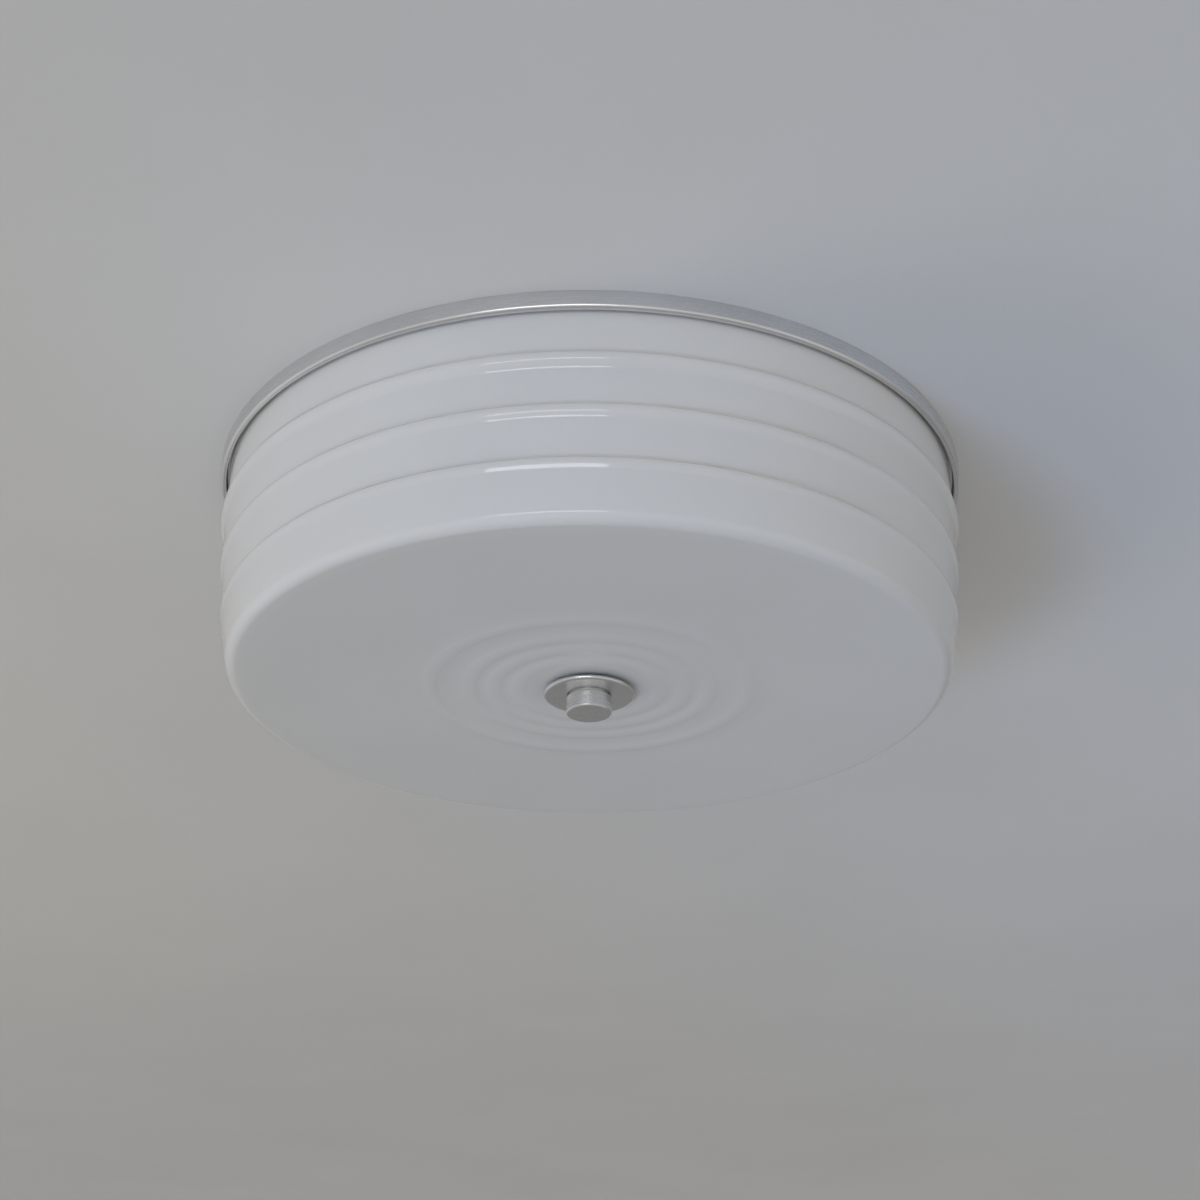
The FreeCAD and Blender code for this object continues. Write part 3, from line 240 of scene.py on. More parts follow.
def opal_glass():
    """White glass, fire polished: a faint cloud inside and a gently uneven skin."""
    sockets = {"IOR": 1.5, "Subsurface Weight": 0.4, "Subsurface Scale": 0.006}
    sockets["Subsurface Radius"] = (1.0, 0.95, 0.9)
    made, tree, shader = new_material("opal_glass", sockets)
    vector = coordinates(tree)
    cloud = noise_value(tree, vector, 9.0, detail=2.0)
    tones = [(0.3, (0.745, 0.742, 0.735)), (0.7, (0.775, 0.772, 0.765))]
    link(tree, ramp(tree, cloud, tones), shader.inputs["Base Color"])
    skin = noise_value(tree, vector, 38.0, detail=1.0)
    link(tree, spread(tree, skin, 0.045, 0.075), shader.inputs["Roughness"])
    broad = noise_value(tree, coordinates(tree, (1, 1, 2.5)), 16.0, detail=1.0)
    link(tree, bump(tree, broad, 0.00006), shader.inputs["Normal"])
    return made


def zinc_steel():
    """Zinc plated sheet with a pale spangle and rubbed patches."""
    made, tree, shader = new_material("zinc_steel", BARE_METAL)
    vector = coordinates(tree)
    spangle = cell_value(tree, vector, 260.0)
    cloud = noise_value(tree, vector, 30.0)
    both = add(tree, "ShaderNodeMath", operation="MULTIPLY_ADD")
    both.inputs[1].default_value = 0.35
    link(tree, spangle, both.inputs[0])
    link(tree, cloud, both.inputs[2])
    tones = [(0.35, (0.44, 0.45, 0.46)), (0.95, (0.66, 0.67, 0.68))]
    link(tree, ramp(tree, both.outputs[0], tones), shader.inputs["Base Color"])
    link(tree, spread(tree, both.outputs[0], 0.28, 0.46, 0.35, 0.95), shader.inputs["Roughness"])
    scratches = noise_value(tree, coordinates(tree, (1, 14, 14)), 160.0, detail=3.0)
    link(tree, bump(tree, scratches, 0.00001), shader.inputs["Normal"])
    return made


def glass_fibre():
    """Pale matted fibre: strands that cross each other over a soft face."""
    sockets = {"Roughness": 0.95, "Sheen Weight": 0.4, "Sheen Roughness": 0.6}
    made, tree, shader = new_material("glass_fibre", sockets)
    one = noise_value(tree, coordinates(tree, (1, 9, 3)), 420.0, detail=3.0)
    other = noise_value(tree, coordinates(tree, (9, 1, 3)), 420.0, detail=3.0)
    strands = add(tree, "ShaderNodeMath", operation="MAXIMUM")
    link(tree, one, strands.inputs[0])
    link(tree, other, strands.inputs[1])
    tones = [(0.40, (0.62, 0.56, 0.40)), (0.62, (0.84, 0.80, 0.68)), (0.75, (0.90, 0.88, 0.80))]
    link(tree, ramp(tree, strands.outputs[0], tones), shader.inputs["Base Color"])
    link(tree, bump(tree, strands.outputs[0], 0.0004), shader.inputs["Normal"])
    return made


def make_materials():
    """One material for each of the record's slots."""
    made = {
        "satin_nickel": satin_nickel(),
        "opal_glass": opal_glass(),
        "zinc_steel": zinc_steel(),
        "glass_fibre": glass_fibre(),
    }
    for name, values in MOTTLED.items():
        made[name] = mottled(name, *values)
    return made


MATERIALS = make_materials()


def dress_nodes():
    """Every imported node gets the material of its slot."""
    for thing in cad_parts.values():
        for holder in thing.material_slots:
            slot = holder.material.name.split(".")[0]
            holder.link = "OBJECT"
            holder.material = MATERIALS[slot]


dress_nodes()

# ------------------------------------------------------------------ camera, light, stage

CAMERA_PLACE = (0.0, -0.8131, -0.44946)
HEADING, RISE, ROLL = 0.005655, 0.455905, 0.0040395  # the camera's, in radians
SENSOR, LENS = 36.0, 61.35

SKY_COLOUR = (1.0, 0.985, 0.97, 1.0)
SKY_DIM_WAY = (0.45, 0.89, 0.0)
SKY_BRIGHT, SKY_DIM = 0.60, 0.24
SKY_TURN = (0.2, 0.72)
MIDDLE = (0.0, 0.0, -0.05)
LIGHTS = [  # name, place, target, width, height, watts, colour
    ("window", (-0.44, -2.1, -0.19), MIDDLE, 1.265, 0.27, 5.0, (0.92, 0.96, 1.0)),
    ("front_fill", (-0.9, -2.0, -0.5), MIDDLE, 0.9, 0.6, 0.5, (1.0, 0.98, 0.96)),
    ("cool_fill", (-1.0, -1.3, -1.5), (0.95, 0.4, 0.0), 0.6, 0.6, 1.1, (0.3, 0.55, 1.0)),
    ("warm_fill", (-1.1, 0.1, -0.8), (-0.3, 0.0, 0.0), 0.6, 0.6, 1.9, (1.0, 0.90, 0.68)),
]
COOL_SPREAD = 46

STAGE_REACH = 2.6
FLOOR_LEVEL = -2.4
CEILING_HOLE = 0.1615
FLOOR_PAINT = ((0.62, 0.617, 0.61), (0.66, 0.657, 0.65), 2.0, (0.8, 0.9), 60.0, 0.0004, {})
CEILING_PAINT = (
    (0.755, 0.755, 0.755), (0.785, 0.785, 0.785), 5.0, (0.8, 0.9), 300.0, 0.00008, {}
)


def place_camera():
    """The photograph's view: below the ceiling, looking up across the fixture."""
    forward = Vector(
        (math.sin(HEADING) * math.cos(RISE), math.cos(HEADING) * math.cos(RISE), math.sin(RISE))
    )
    level = forward.cross(Vector((0, 0, 1))).normalized()
    upright = level.cross(forward)
    right = level * math.cos(ROLL) + upright * math.sin(ROLL)
    above = -level * math.sin(ROLL) + upright * math.cos(ROLL)
    data = bpy.data.cameras.new("camera")
    data.sensor_width = SENSOR
    data.lens = LENS
    camera = bpy.data.objects.new("camera", data)
    matrix = Matrix((right, above, -forward)).transposed().to_4x4()
    matrix.translation = Vector(CAMERA_PLACE)
    camera.matrix_world = matrix
    bpy.context.scene.collection.objects.link(camera)
    bpy.context.scene.camera = camera


def area_light(name, place, target, width, height, watts, colour):
    data = bpy.data.lights.new(name, "AREA")
    data.shape = "RECTANGLE"
    data.size = width
    data.size_y = height
    data.energy = watts
    data.color = colour
    light = bpy.data.objects.new(name, data)
    light.location = place
    light.rotation_euler = (Vector(target) - Vector(place)).to_track_quat("-Z", "Y").to_euler()
    light.visible_camera = False
    light.visible_glossy = name == "window"
    bpy.context.scene.collection.objects.link(light)
    return light


def light_scene():
    """A sky that is dimmer behind the fixture, a window that the glass mirrors, and
    fills that it doesn't."""
    scene = bpy.context.scene
    scene.view_settings.view_transform = "Standard"
    world = bpy.data.worlds.new("world")
    scene.world = world
    world.use_nodes = True
    tree = world.node_tree
    background = tree.nodes["Background"]
    background.inputs["Color"].default_value = SKY_COLOUR
    place = add(tree, "ShaderNodeTexCoord")
    away = add(tree, "ShaderNodeVectorMath", operation="DOT_PRODUCT")
    away.inputs[1].default_value = SKY_DIM_WAY
    link(tree, place.outputs["Generated"], away.inputs[0])
    strength = spread(tree, away.outputs["Value"], SKY_BRIGHT, SKY_DIM, *SKY_TURN)
    link(tree, strength, background.inputs["Strength"])
    lights = {settings[0]: area_light(*settings) for settings in LIGHTS}
    lights["cool_fill"].data.spread = math.radians(COOL_SPREAD)


def stage_disc(name, height, inner, outer, material, down):
    """A flat round sheet, with a round hole if inner isn't 0."""
    steps = 128
    radii = [inner, inner * 2, outer] if inner else [outer]
    verts = [] if inner else [(0.0, 0.0, height)]
    for radius in radii:
        for i in range(steps):
            angle = TAU * i / steps
            verts.append((radius * math.cos(angle), radius * math.sin(angle), height))
    faces = []
    for i in range(steps):
        j = (i + 1) % steps
        if inner:
            for k in range(len(radii) - 1):
                a, b = k * steps, (k + 1) * steps
                faces.append((a + i, b + i, b + j, a + j))
        else:
            faces.append((0, 1 + i, 1 + j))
    if down:
        faces = [face[::-1] for face in faces]
    data = bpy.data.meshes.new(name)
    data.from_pydata(verts, [], faces)
    data.materials.append(material)
    thing = bpy.data.objects.new(name, data)
    bpy.context.scene.collection.objects.link(thing)


def make_stage():
    """A pale floor, and a pale ceiling that is clear from above."""
    paint = mottled("pale_floor", *FLOOR_PAINT)
    stage_disc("floor", FLOOR_LEVEL, 0.0, STAGE_REACH, paint, False)
    ceiling = mottled("pale_ceiling", *CEILING_PAINT)
    tree = ceiling.node_tree
    shader = tree.nodes["Principled BSDF"]
    side = add(tree, "ShaderNodeNewGeometry")
    clear = add(tree, "ShaderNodeBsdfTransparent")
    choose = add(tree, "ShaderNodeMixShader")
    link(tree, side.outputs["Backfacing"], choose.inputs["Fac"])
    link(tree, shader.outputs["BSDF"], choose.inputs[1])
    link(tree, clear.outputs["BSDF"], choose.inputs[2])
    link(tree, choose.outputs["Shader"], tree.nodes["Material Output"].inputs["Surface"])
    stage_disc("ceiling", 0.0, CEILING_HOLE, STAGE_REACH, ceiling, True)


place_camera()
light_scene()
make_stage()

# ------------------------------------------------------------------ mesh helpers

TINY = 1e-6  # shorter lengths count as none
CORNER_SHARE = 0.45  # of a side that one softened corner may take up


def between(start, end, shares):
    """Points on the straight line from start to end."""
    (a, b), (c, d) = start, end
    return [(a + (c - a) * share, b + (d - b) * share) for share in shares]


def rounded(start, end, radius, turn, steps):
    """Points after start along the short arc to end; turn is 1 for anticlockwise."""
    a, b = Vector(start), Vector(end)
    chord = b - a
    reach = math.sqrt(max(radius**2 - chord.length_squared / 4, 0.0))
    centre = (a + b) / 2 + Vector((-chord.y, chord.x)).normalized() * reach * turn
    first = math.atan2(a.y - centre.y, a.x - centre.x)
    sweep = (math.atan2(b.y - centre.y, b.x - centre.x) - first + math.pi) % TAU - math.pi
    points = []
    for k in range(1, steps + 1):
        angle = first + sweep * k / steps
        points.append((centre.x + radius * math.cos(angle), centre.y + radius * math.sin(angle)))
    return points


def softened(points, reach, least_turn):
    """The closed outline with each corner that turns least_turn degrees or more replaced
    by a small curve that starts and ends at most reach from it."""
    out = []
    count = len(points)
    for i, point in enumerate(points):
        here = Vector(point)
        inward = here - Vector(points[i - 1])
        outward = Vector(points[(i + 1) % count]) - here
        short = min(inward.length, outward.length) < TINY
        if short or math.degrees(inward.angle(outward)) < least_turn:
            out.append(point)
            continue
        start = here - inward.normalized() * min(reach, inward.length * CORNER_SHARE)
        end = here + outward.normalized() * min(reach, outward.length * CORNER_SHARE)
        for k in range(5):
            t = k / 4
            out.append(tuple(start * (1 - t) ** 2 + here * (2 * t * (1 - t)) + end * t**2))
    return out


def dome(radius, level, height, angles):
    """Points on a low dome under level, from near its pole out to near its edge."""
    return [
        (radius * math.sin(math.radians(a)), level - height * math.cos(math.radians(a)))
        for a in angles
    ]


def ridge(turns):
    """A round-topped thread form, from 0 at its root to 1 at its crest."""
    return 0.5 - 0.5 * math.cos(TAU * turns)


def vee(turns):
    """A pointed thread form, from 0 at its root to 1 at its crest."""
    return 1 - abs(2 * (turns % 1.0) - 1)


def thread_rows(radius, start, end, pitch, depth, rows, fade):
    """Rows (radius, height, depth of cut) of a thread that fades in and out over fade
    pitches."""
    count = max(2, round(abs(end - start) / pitch * rows))
    out = []
    for k in range(count + 1):
        height = start + (end - start) * k / count
        room = min(abs(height - start), abs(end - height)) / (pitch * fade)
        out.append((radius, height, depth * min(1.0, room)))
    return out


def offset(rows, shift):
    """Thread rows the other way round, shift further out."""
    return [(radius + shift, height, depth) for radius, height, depth in rows[::-1]]


def lathe(outline, steps, closed=True, pitch=1.0, form=vee, flutes=None):
    """Turn an outline of (radius, height) round Z. A point may carry a thread's depth.
    flutes(radius, height, angle) gives another radius. An open outline starts and ends
    on the axis."""
    verts, rings = [], []
    for radius, height, *cut in outline:
        depth = cut[0] if cut else 0.0
        if radius < TINY:
            rings.append([len(verts)])
            verts.append((0.0, 0.0, height))
            continue
        ring = []
        for i in range(steps):
            angle = TAU * i / steps
            here = radius
            if depth:
                here -= depth * (1 - form(height / pitch - angle / TAU))
            if flutes:
                here = flutes(here, height, angle)
            ring.append(len(verts))
            verts.append((here * math.cos(angle), here * math.sin(angle), height))
        rings.append(ring)
    faces = []
    pairs = list(zip(rings, rings[1:]))
    if closed:
        pairs.append((rings[-1], rings[0]))
    for low, high in pairs:
        for i in range(steps):
            j = (i + 1) % steps
            if len(low) == 1 and len(high) == 1:
                continue
            if len(low) == 1:
                faces.append((low[0], high[j], high[i]))
            elif len(high) == 1:
                faces.append((low[i], low[j], high[0]))
            else:
                faces.append((low[i], low[j], high[j], high[i]))
    return verts, faces


def box_part(x, y, z):
    """A block between the ranges x, y and z."""
    verts = [(a, b, c) for a in x for b in y for c in z]
    faces = [(0, 1, 3, 2), (4, 6, 7, 5), (0, 4, 5, 1), (2, 3, 7, 6), (0, 2, 6, 4), (1, 5, 7, 3)]
    return verts, faces


DRILL_DEPTHS = (-30.0, 5.0)


def drilled(x, y, radius):
    """A round cutter right through the pan or the mat at a place."""
    low, high = DRILL_DEPTHS
    outline = [(0.0, low), (radius, low), (radius, high), (0.0, high)]
    verts, faces = lathe(outline, 32, closed=False)
    return [(vx + x, vy + y, vz) for vx, vy, vz in verts], faces


def even_normals(data):
    """Turn all of a mesh's faces outward."""
    mesh = bmesh.new()
    mesh.from_mesh(data)
    bmesh.ops.recalc_face_normals(mesh, faces=mesh.faces)
    mesh.to_mesh(data)
    mesh.free()


def raw_object(part):
    data = bpy.data.meshes.new("raw")
    data.from_pydata(part[0], [], part[1])
    thing = bpy.data.objects.new("raw", data)
    bpy.context.scene.collection.objects.link(thing)
    even_normals(data)
    return thing


def carved(part, cutters):
    """The part with the cutters taken out of it."""
    base = raw_object(part)
    tools = [raw_object(cutter) for cutter in cutters]
    for tool in tools:
        modifier = base.modifiers.new("carve", "BOOLEAN")
        modifier.operation = "DIFFERENCE"
        modifier.solver = "EXACT"
        modifier.object = tool
    bpy.context.view_layer.update()
    shaped = base.evaluated_get(bpy.context.evaluated_depsgraph_get())
    mesh = shaped.to_mesh()
    verts = [tuple(v.co) for v in mesh.vertices]
    faces = [tuple(p.vertices) for p in mesh.polygons]
    shaped.to_mesh_clear()
    for thing in [base, *tools]:
        data = thing.data
        bpy.data.objects.remove(thing)
        bpy.data.meshes.remove(data)
    return verts, faces


def piece(name, parts, body, slot, nodes, sharp=38.0):
    """One piece made of parts, each with its matrix in millimetres, that rides on a body
    and stands for the nodes."""
    verts, faces = [], []
    for (part_verts, part_faces), matrix in parts:
        shift = len(verts)
        verts += [(matrix @ Vector(v)) * MM for v in part_verts]
        faces += [tuple(i + shift for i in face) for face in part_faces]
    data = bpy.data.meshes.new(name)
    data.from_pydata(verts, [], faces)
    even_normals(data)
    data.shade_smooth()
    data.set_sharp_from_angle(angle=math.radians(sharp))
    data.materials.append(MATERIALS[slot])
    thing = bpy.data.objects.new(name, data)
    bpy.context.scene.collection.objects.link(thing)
    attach(thing, body)
    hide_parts(*nodes)
    return thing


def spot(x, y, z, axis="X", degrees=0.0):
    """A matrix that turns about an axis and then moves to a place."""
    return Matrix.Translation((x, y, z)) @ Matrix.Rotation(math.radians(degrees), 4, axis)


HERE = Matrix.Identity(4)

# ------------------------------------------------------------------ the shade

NECK = 161.1
NECK_BOTTOM = -24.3
RIB_PITCH = 22.0
SHOULDER = 3.5
CREST_ROUND = 4.0
COVE = 8.0
RIBS = [  # crest radius, flank slope, flank length, slope of the wall below
    (163.0, 24.0, 2.2, 9.7),
    (161.4, 21.0, 1.4, 12.3),
    (159.6, 17.0, 1.0, 9.9),
]
GLASS = 3.0
SHADE_TOP = -3.1
SHADE_BOTTOM = -94.7
FOOT_HEIGHT = 4.4
CORNER = 5.0
SEAT = -94.0
SHADE_HOLE = 6.6
RIPPLES = (69.2, 52.3, 41.4, 30.8)
RIPPLE_HALF = 4.2
RIPPLE_HEIGHT = 0.3


def rib_outline(radius, level, rib, foot):
    """A rib's points from the wall above it, which ends at (radius, level), down to foot:
    shoulder, crest, flank, cove and wall. Gives them and the wall's radius at foot."""
    crest, slope, length, wall = rib
    top = (crest, level - SHOULDER)
    rise = crest - radius
    bend = (rise**2 + SHOULDER**2) / (2 * rise)
    # The shoulder starts straight, so that softened makes its valley a gentle one.
    points = rounded((radius, level), top, bend, -1, 12)[6:]
    a, b = math.radians(slope), math.radians(wall)
    upper = (crest - CREST_ROUND * (1 - math.cos(a)), top[1] - CREST_ROUND * math.sin(a))
    lower = (upper[0] - length * math.sin(a), upper[1] - length * math.cos(a))
    end = (
        lower[0] - COVE * (math.cos(b) - math.cos(a)),
        lower[1] - COVE * (math.sin(a) - math.sin(b)),
    )
    points += rounded(top, upper, CREST_ROUND, -1, 6)
    points.append(lower)
    points += rounded(lower, end, COVE, 1, 6)
    foot_radius = end[0] - (end[1] - foot) * math.tan(b)
    points += between(end, (foot_radius, foot), (0.33, 0.67))
    return points, foot_radius


def bottom_outline(start):
    """The bottom from the corner's end at start, in over the ripples to the hole."""
    rim = (RIPPLES[0] + RIPPLE_HALF, SEAT)
    points = between((start, SHADE_BOTTOM), rim, [k / 10 for k in range(1, 10)])
    bend = (RIPPLE_HALF**2 + RIPPLE_HEIGHT**2) / (2 * RIPPLE_HEIGHT)
    for middle in RIPPLES:
        far, near = (middle + RIPPLE_HALF, SEAT), (middle - RIPPLE_HALF, SEAT)
        points.append(far)
        points += rounded(far, near, bend, -1, 10)
    points.append((SHADE_HOLE, SEAT))
    return points


def glass_outline():
    """The shade's section: outside down, bottom in to the hole, inside up."""
    radius, level = NECK, NECK_BOTTOM
    points = [(NECK, SHADE_TOP)]
    points += between((NECK, SHADE_TOP), (NECK, level), [k / 8 for k in range(1, 8)])
    feet = [level - RIB_PITCH, level - 2 * RIB_PITCH, SHADE_BOTTOM + FOOT_HEIGHT]
    inside = []
    for rib, foot in zip(RIBS, feet):
        inside += [(radius - GLASS, level - 1), (rib[0] - GLASS, level - SHOULDER - 1)]
        points.append((radius, level))
        rib_points, radius = rib_outline(radius, level, rib, foot)
        points += rib_points
        level = foot
    points.append((radius, level))
    inside += [(radius - GLASS, level + 1), (radius - 2 * GLASS, SHADE_BOTTOM + GLASS)]
    reach = math.sqrt(CORNER**2 - (CORNER - FOOT_HEIGHT) ** 2)
    points += rounded((radius, level), (radius - reach, SHADE_BOTTOM), CORNER, -1, 14)
    points += bottom_outline(radius - reach)
    hole = (SHADE_HOLE, SEAT + GLASS)
    points.append(hole)
    points += between(hole, inside[-1], (0.25, 0.5, 0.75))
    points += inside[::-1]
    points.append((NECK - GLASS, SHADE_TOP))
    return softened(points, 1.2, 12.0)


def make_shade():
    part = lathe(glass_outline(), 256)
    piece("opal_shade", [(part, HERE)], "shade_body", "opal_glass", ["shade"], sharp=50.0)


# ------------------------------------------------------------------ the pan

RIM_RADIUS = 165.0
RIM_BAND = 6.0
RIM_ROLL = 1.7
SHEET = 0.8
LIP_TURN = 0.9
PLATE = -2.8
FLOOR = -16.8
RECESS_TOP = 72.0
RECESS_FOOT = 69.5
WALL_STEP = (0.3, 1.7)  # a short way along the recess's sloping wall
FLAT_STEP = 2.0  # a short way along a flat, from a bend
HEM_STEP = 1.5  # a short way down the hem, from the plate
PAN_BORE = 5.2
KEYHOLE_REACH = 28.0
KEYHOLE_TRAVEL = 9.0
KEYHOLE_WIDE, KEYHOLE_NARROW = 5.0, 2.4
GROUND_PLACE, GROUND_HOLE = (22, 20), 2.06
LAMP_ASIDE = 42
BUSHING_REACH, BUSHING_HOLE = 35, 5.0
RIVET_REACH, RIVET_STEP, RIVET_HOLE = 102.2, 9, 2.05


def rivet_places(side):
    """Where the two rivets of the bracket on a side are, as (x, y)."""
    return [(side * RIVET_REACH, -side * LAMP_ASIDE + y) for y in (-RIVET_STEP, RIVET_STEP)]


def pan_outline():
    """The pan's section: down the rim, under its rolled lip and up, in along the plate
    and the recess to the bore, and back above the sheet."""
    hem = RIM_RADIUS - RIM_ROLL - LIP_TURN
    lip = (RIM_RADIUS - RIM_ROLL, -RIM_BAND - RIM_ROLL)
    lip_inside = (lip[0], lip[1] + SHEET)
    inner = RIM_ROLL - SHEET
    over, up = WALL_STEP
    outline = [(RIM_RADIUS, 0.0), (RIM_RADIUS, -RIM_BAND * 0.5), (RIM_RADIUS, -RIM_BAND)]
    outline += rounded((RIM_RADIUS, -RIM_BAND), lip, RIM_ROLL, -1, 12)
    outline += rounded(lip, (hem, lip[1] + LIP_TURN), LIP_TURN, -1, 10)
    outline += [(hem, PLATE - HEM_STEP), (hem, PLATE), (hem - FLAT_STEP, PLATE)]
    outline += [(RECESS_TOP + FLAT_STEP, PLATE), (RECESS_TOP, PLATE)]
    outline += [(RECESS_TOP - over, PLATE - up), (RECESS_FOOT + over, FLOOR + up)]
    outline += [(RECESS_FOOT, FLOOR), (RECESS_FOOT - FLAT_STEP, FLOOR)]
    outline += [(PAN_BORE + FLAT_STEP, FLOOR), (PAN_BORE, FLOOR)]
    floor, plate = FLOOR + SHEET, PLATE + SHEET
    foot, top = RECESS_FOOT - SHEET, RECESS_TOP - SHEET
    outline += [(PAN_BORE, floor), (PAN_BORE + FLAT_STEP, floor), (foot - FLAT_STEP, floor)]
    outline += [(foot, floor), (foot + over, floor + up), (top - over, plate - up), (top, plate)]
    outline += [(top + FLAT_STEP, plate), (hem - FLAT_STEP, plate), (hem + SHEET, plate)]
    outline += [(hem + SHEET, lip[1] + LIP_TURN), lip_inside]
    outline += rounded(lip_inside, (lip[0] + inner, -RIM_BAND), inner, 1, 6)
    outline.append((RIM_RADIUS - SHEET, 0.0))
    return softened(outline, 0.5, 60.0)


def make_pan():
    """The pressed pan, with a finely rounded lip, softly bent corners and its holes."""
    holes = [drilled(*GROUND_PLACE, GROUND_HOLE)]
    slot = KEYHOLE_NARROW
    for side in (-1, 1):
        x, y = side * KEYHOLE_REACH, side * KEYHOLE_TRAVEL
        holes += [drilled(x, y, KEYHOLE_WIDE), drilled(x, 0, slot)]
        holes.append(box_part((x - slot, x + slot), sorted((0, y)), DRILL_DEPTHS))
        holes.append(drilled(side * BUSHING_REACH, -side * LAMP_ASIDE, BUSHING_HOLE))
        holes += [drilled(*place, RIVET_HOLE) for place in rivet_places(side)]
    pan = (carved(lathe(pan_outline(), 256), holes), HERE)
    piece("pressed_pan", [pan], "fixture", "satin_nickel", ["ceiling_pan"], sharp=40.0)


# ------------------------------------------------------------------ knob, rod, nuts

DISC_FOOT = -97.4
KNOB_FOOT = -105.6
KNOB_RADIUS = 9.8
KNOB_THROAT = 8.7
KNOB_BORE_END, KNOB_DRILL_TIP = -104.3, -104.6
KNOB_EDGE = 0.8  # radius round its foot
UNDERCUT = 0.8  # height of the neck under the washer
SEAT_GAP = 0.02
GROOVES = (1.15, 1.75)  # below the undercut
GROOVE_DEPTH = 0.14
ROD_RADIUS = 4.75
ROD_BORE = 3.2
ROD_TOP = -8.0
ROD_FOOT = -103.9
ROD_PITCH = 0.9407
ROD_THREAD = 0.42  # depth of its thread
ROD_CHAMFER = 0.6
NUT_FLATS = 14.3
NUT_HEIGHT = 4.0
NUT_BORE = 4.81
NUT_CHAMFER = 0.4
NUT_FEET = (-14.8, -22.0)


def make_knob():
    """The turned knob: undercut under the washer, two fine grooves, a rounded foot and a
    blind bore for the rod."""
    seat, top = DISC_FOOT - SEAT_GAP, DISC_FOOT - UNDERCUT
    bore = ROD_RADIUS + 0.05
    outline = [(0.0, KNOB_DRILL_TIP), (1.5, KNOB_BORE_END), (bore, KNOB_BORE_END)]
    outline += [(bore, seat), (KNOB_THROAT, seat), (KNOB_THROAT, top)]
    outline += [(KNOB_RADIUS - 0.25, top), (KNOB_RADIUS, top - 0.25)]
    for groove in GROOVES:
        level = top - groove
        outline += [
            (KNOB_RADIUS, level + 0.16), (KNOB_RADIUS - GROOVE_DEPTH, level + 0.05),
            (KNOB_RADIUS - GROOVE_DEPTH, level - 0.05), (KNOB_RADIUS, level - 0.16),
        ]
    edge = (KNOB_RADIUS, KNOB_FOOT + KNOB_EDGE)
    outline.append(edge)
    outline += rounded(edge, (KNOB_RADIUS - KNOB_EDGE, KNOB_FOOT), KNOB_EDGE, -1, 8)
    outline += [(radius, KNOB_FOOT + 0.03) for radius in (6.0, 3.0, 0.6)]
    outline.append((0.0, KNOB_FOOT + 0.12))
    part = lathe(outline, 144, closed=False)
    piece("turned_knob", [(part, HERE)], "knob_body", "satin_nickel", ["finial_knob"], sharp=25.0)


def make_rod():
    """All-thread pipe: a fine thread from end to end and a plain bore."""
    outer = thread_rows(ROD_RADIUS, ROD_FOOT, ROD_TOP, ROD_PITCH, ROD_THREAD, 6, fade=0.6)
    face = ROD_RADIUS - ROD_CHAMFER
    outline = [(ROD_BORE, ROD_TOP), (ROD_BORE, ROD_FOOT), (face, ROD_FOOT)]
    outline += outer[1:-1] + [(face, ROD_TOP)]
    part = lathe(outline, 36, pitch=ROD_PITCH)
    piece("threaded_pipe", [(part, HERE)], "fixture", "zinc_steel", ["threaded_rod"], sharp=60.0)


def hexagon(flats, corner_cut):
    """Flutes for a hex nut: flat sides whose corners are turned off near both ends."""

    def side(radius, height, angle):
        if radius < flats / 2 - 0.01:
            return radius
        turned = (angle + TAU / 12) % (TAU / 6) - TAU / 12
        flat = flats / 2 / math.cos(turned)
        return min(flat, radius - corner_cut(height))

    return side


def make_nuts():
    """Two hex nuts on the rod, with both faces chamfered."""
    corner = NUT_FLATS / 2 / math.cos(math.radians(30))
    start = NUT_BORE + NUT_CHAMFER

    def corner_cut(level):
        near = min(level, NUT_HEIGHT - level)
        return max(0.0, (0.75 - near) * 1.5)

    levels = [0.0, 0.15, 0.3, 0.45, 0.6, 0.75, 2.0, 3.25, 3.4, 3.55, 3.7, 3.85, NUT_HEIGHT]
    outline = [(start, 0.0)] + [(corner, level) for level in levels]
    outline += [(start, NUT_HEIGHT), (NUT_BORE, NUT_HEIGHT - NUT_CHAMFER), (NUT_BORE, NUT_CHAMFER)]
    part = lathe(outline, 96, flutes=hexagon(NUT_FLATS, corner_cut))
    places = [(part, spot(0, 0, level, "Z", 30)) for level in NUT_FEET]
    piece("hex_nuts", places, "fixture", "zinc_steel", ["rod_nuts"], sharp=24.0)


# ------------------------------------------------------------------ screws and rivets

MACHINE_SCREW = {"shank": 2.0, "head": 4.2, "height": 2.6, "pitch": 0.8}
BAR_SCREW_REACH, BAR_SCREW_SEAT = 15, -3.8
PAN_SCREW_SEAT = -14.4
TERMINAL_REACH, TERMINAL_STEP, TERMINAL_SEAT = 82.2, 7, -43.8
HOLDER_REACH, HOLDER_STEP, HOLDER_LEVEL = 92.2, 9, -57
RIVET_SEAT = -4.0


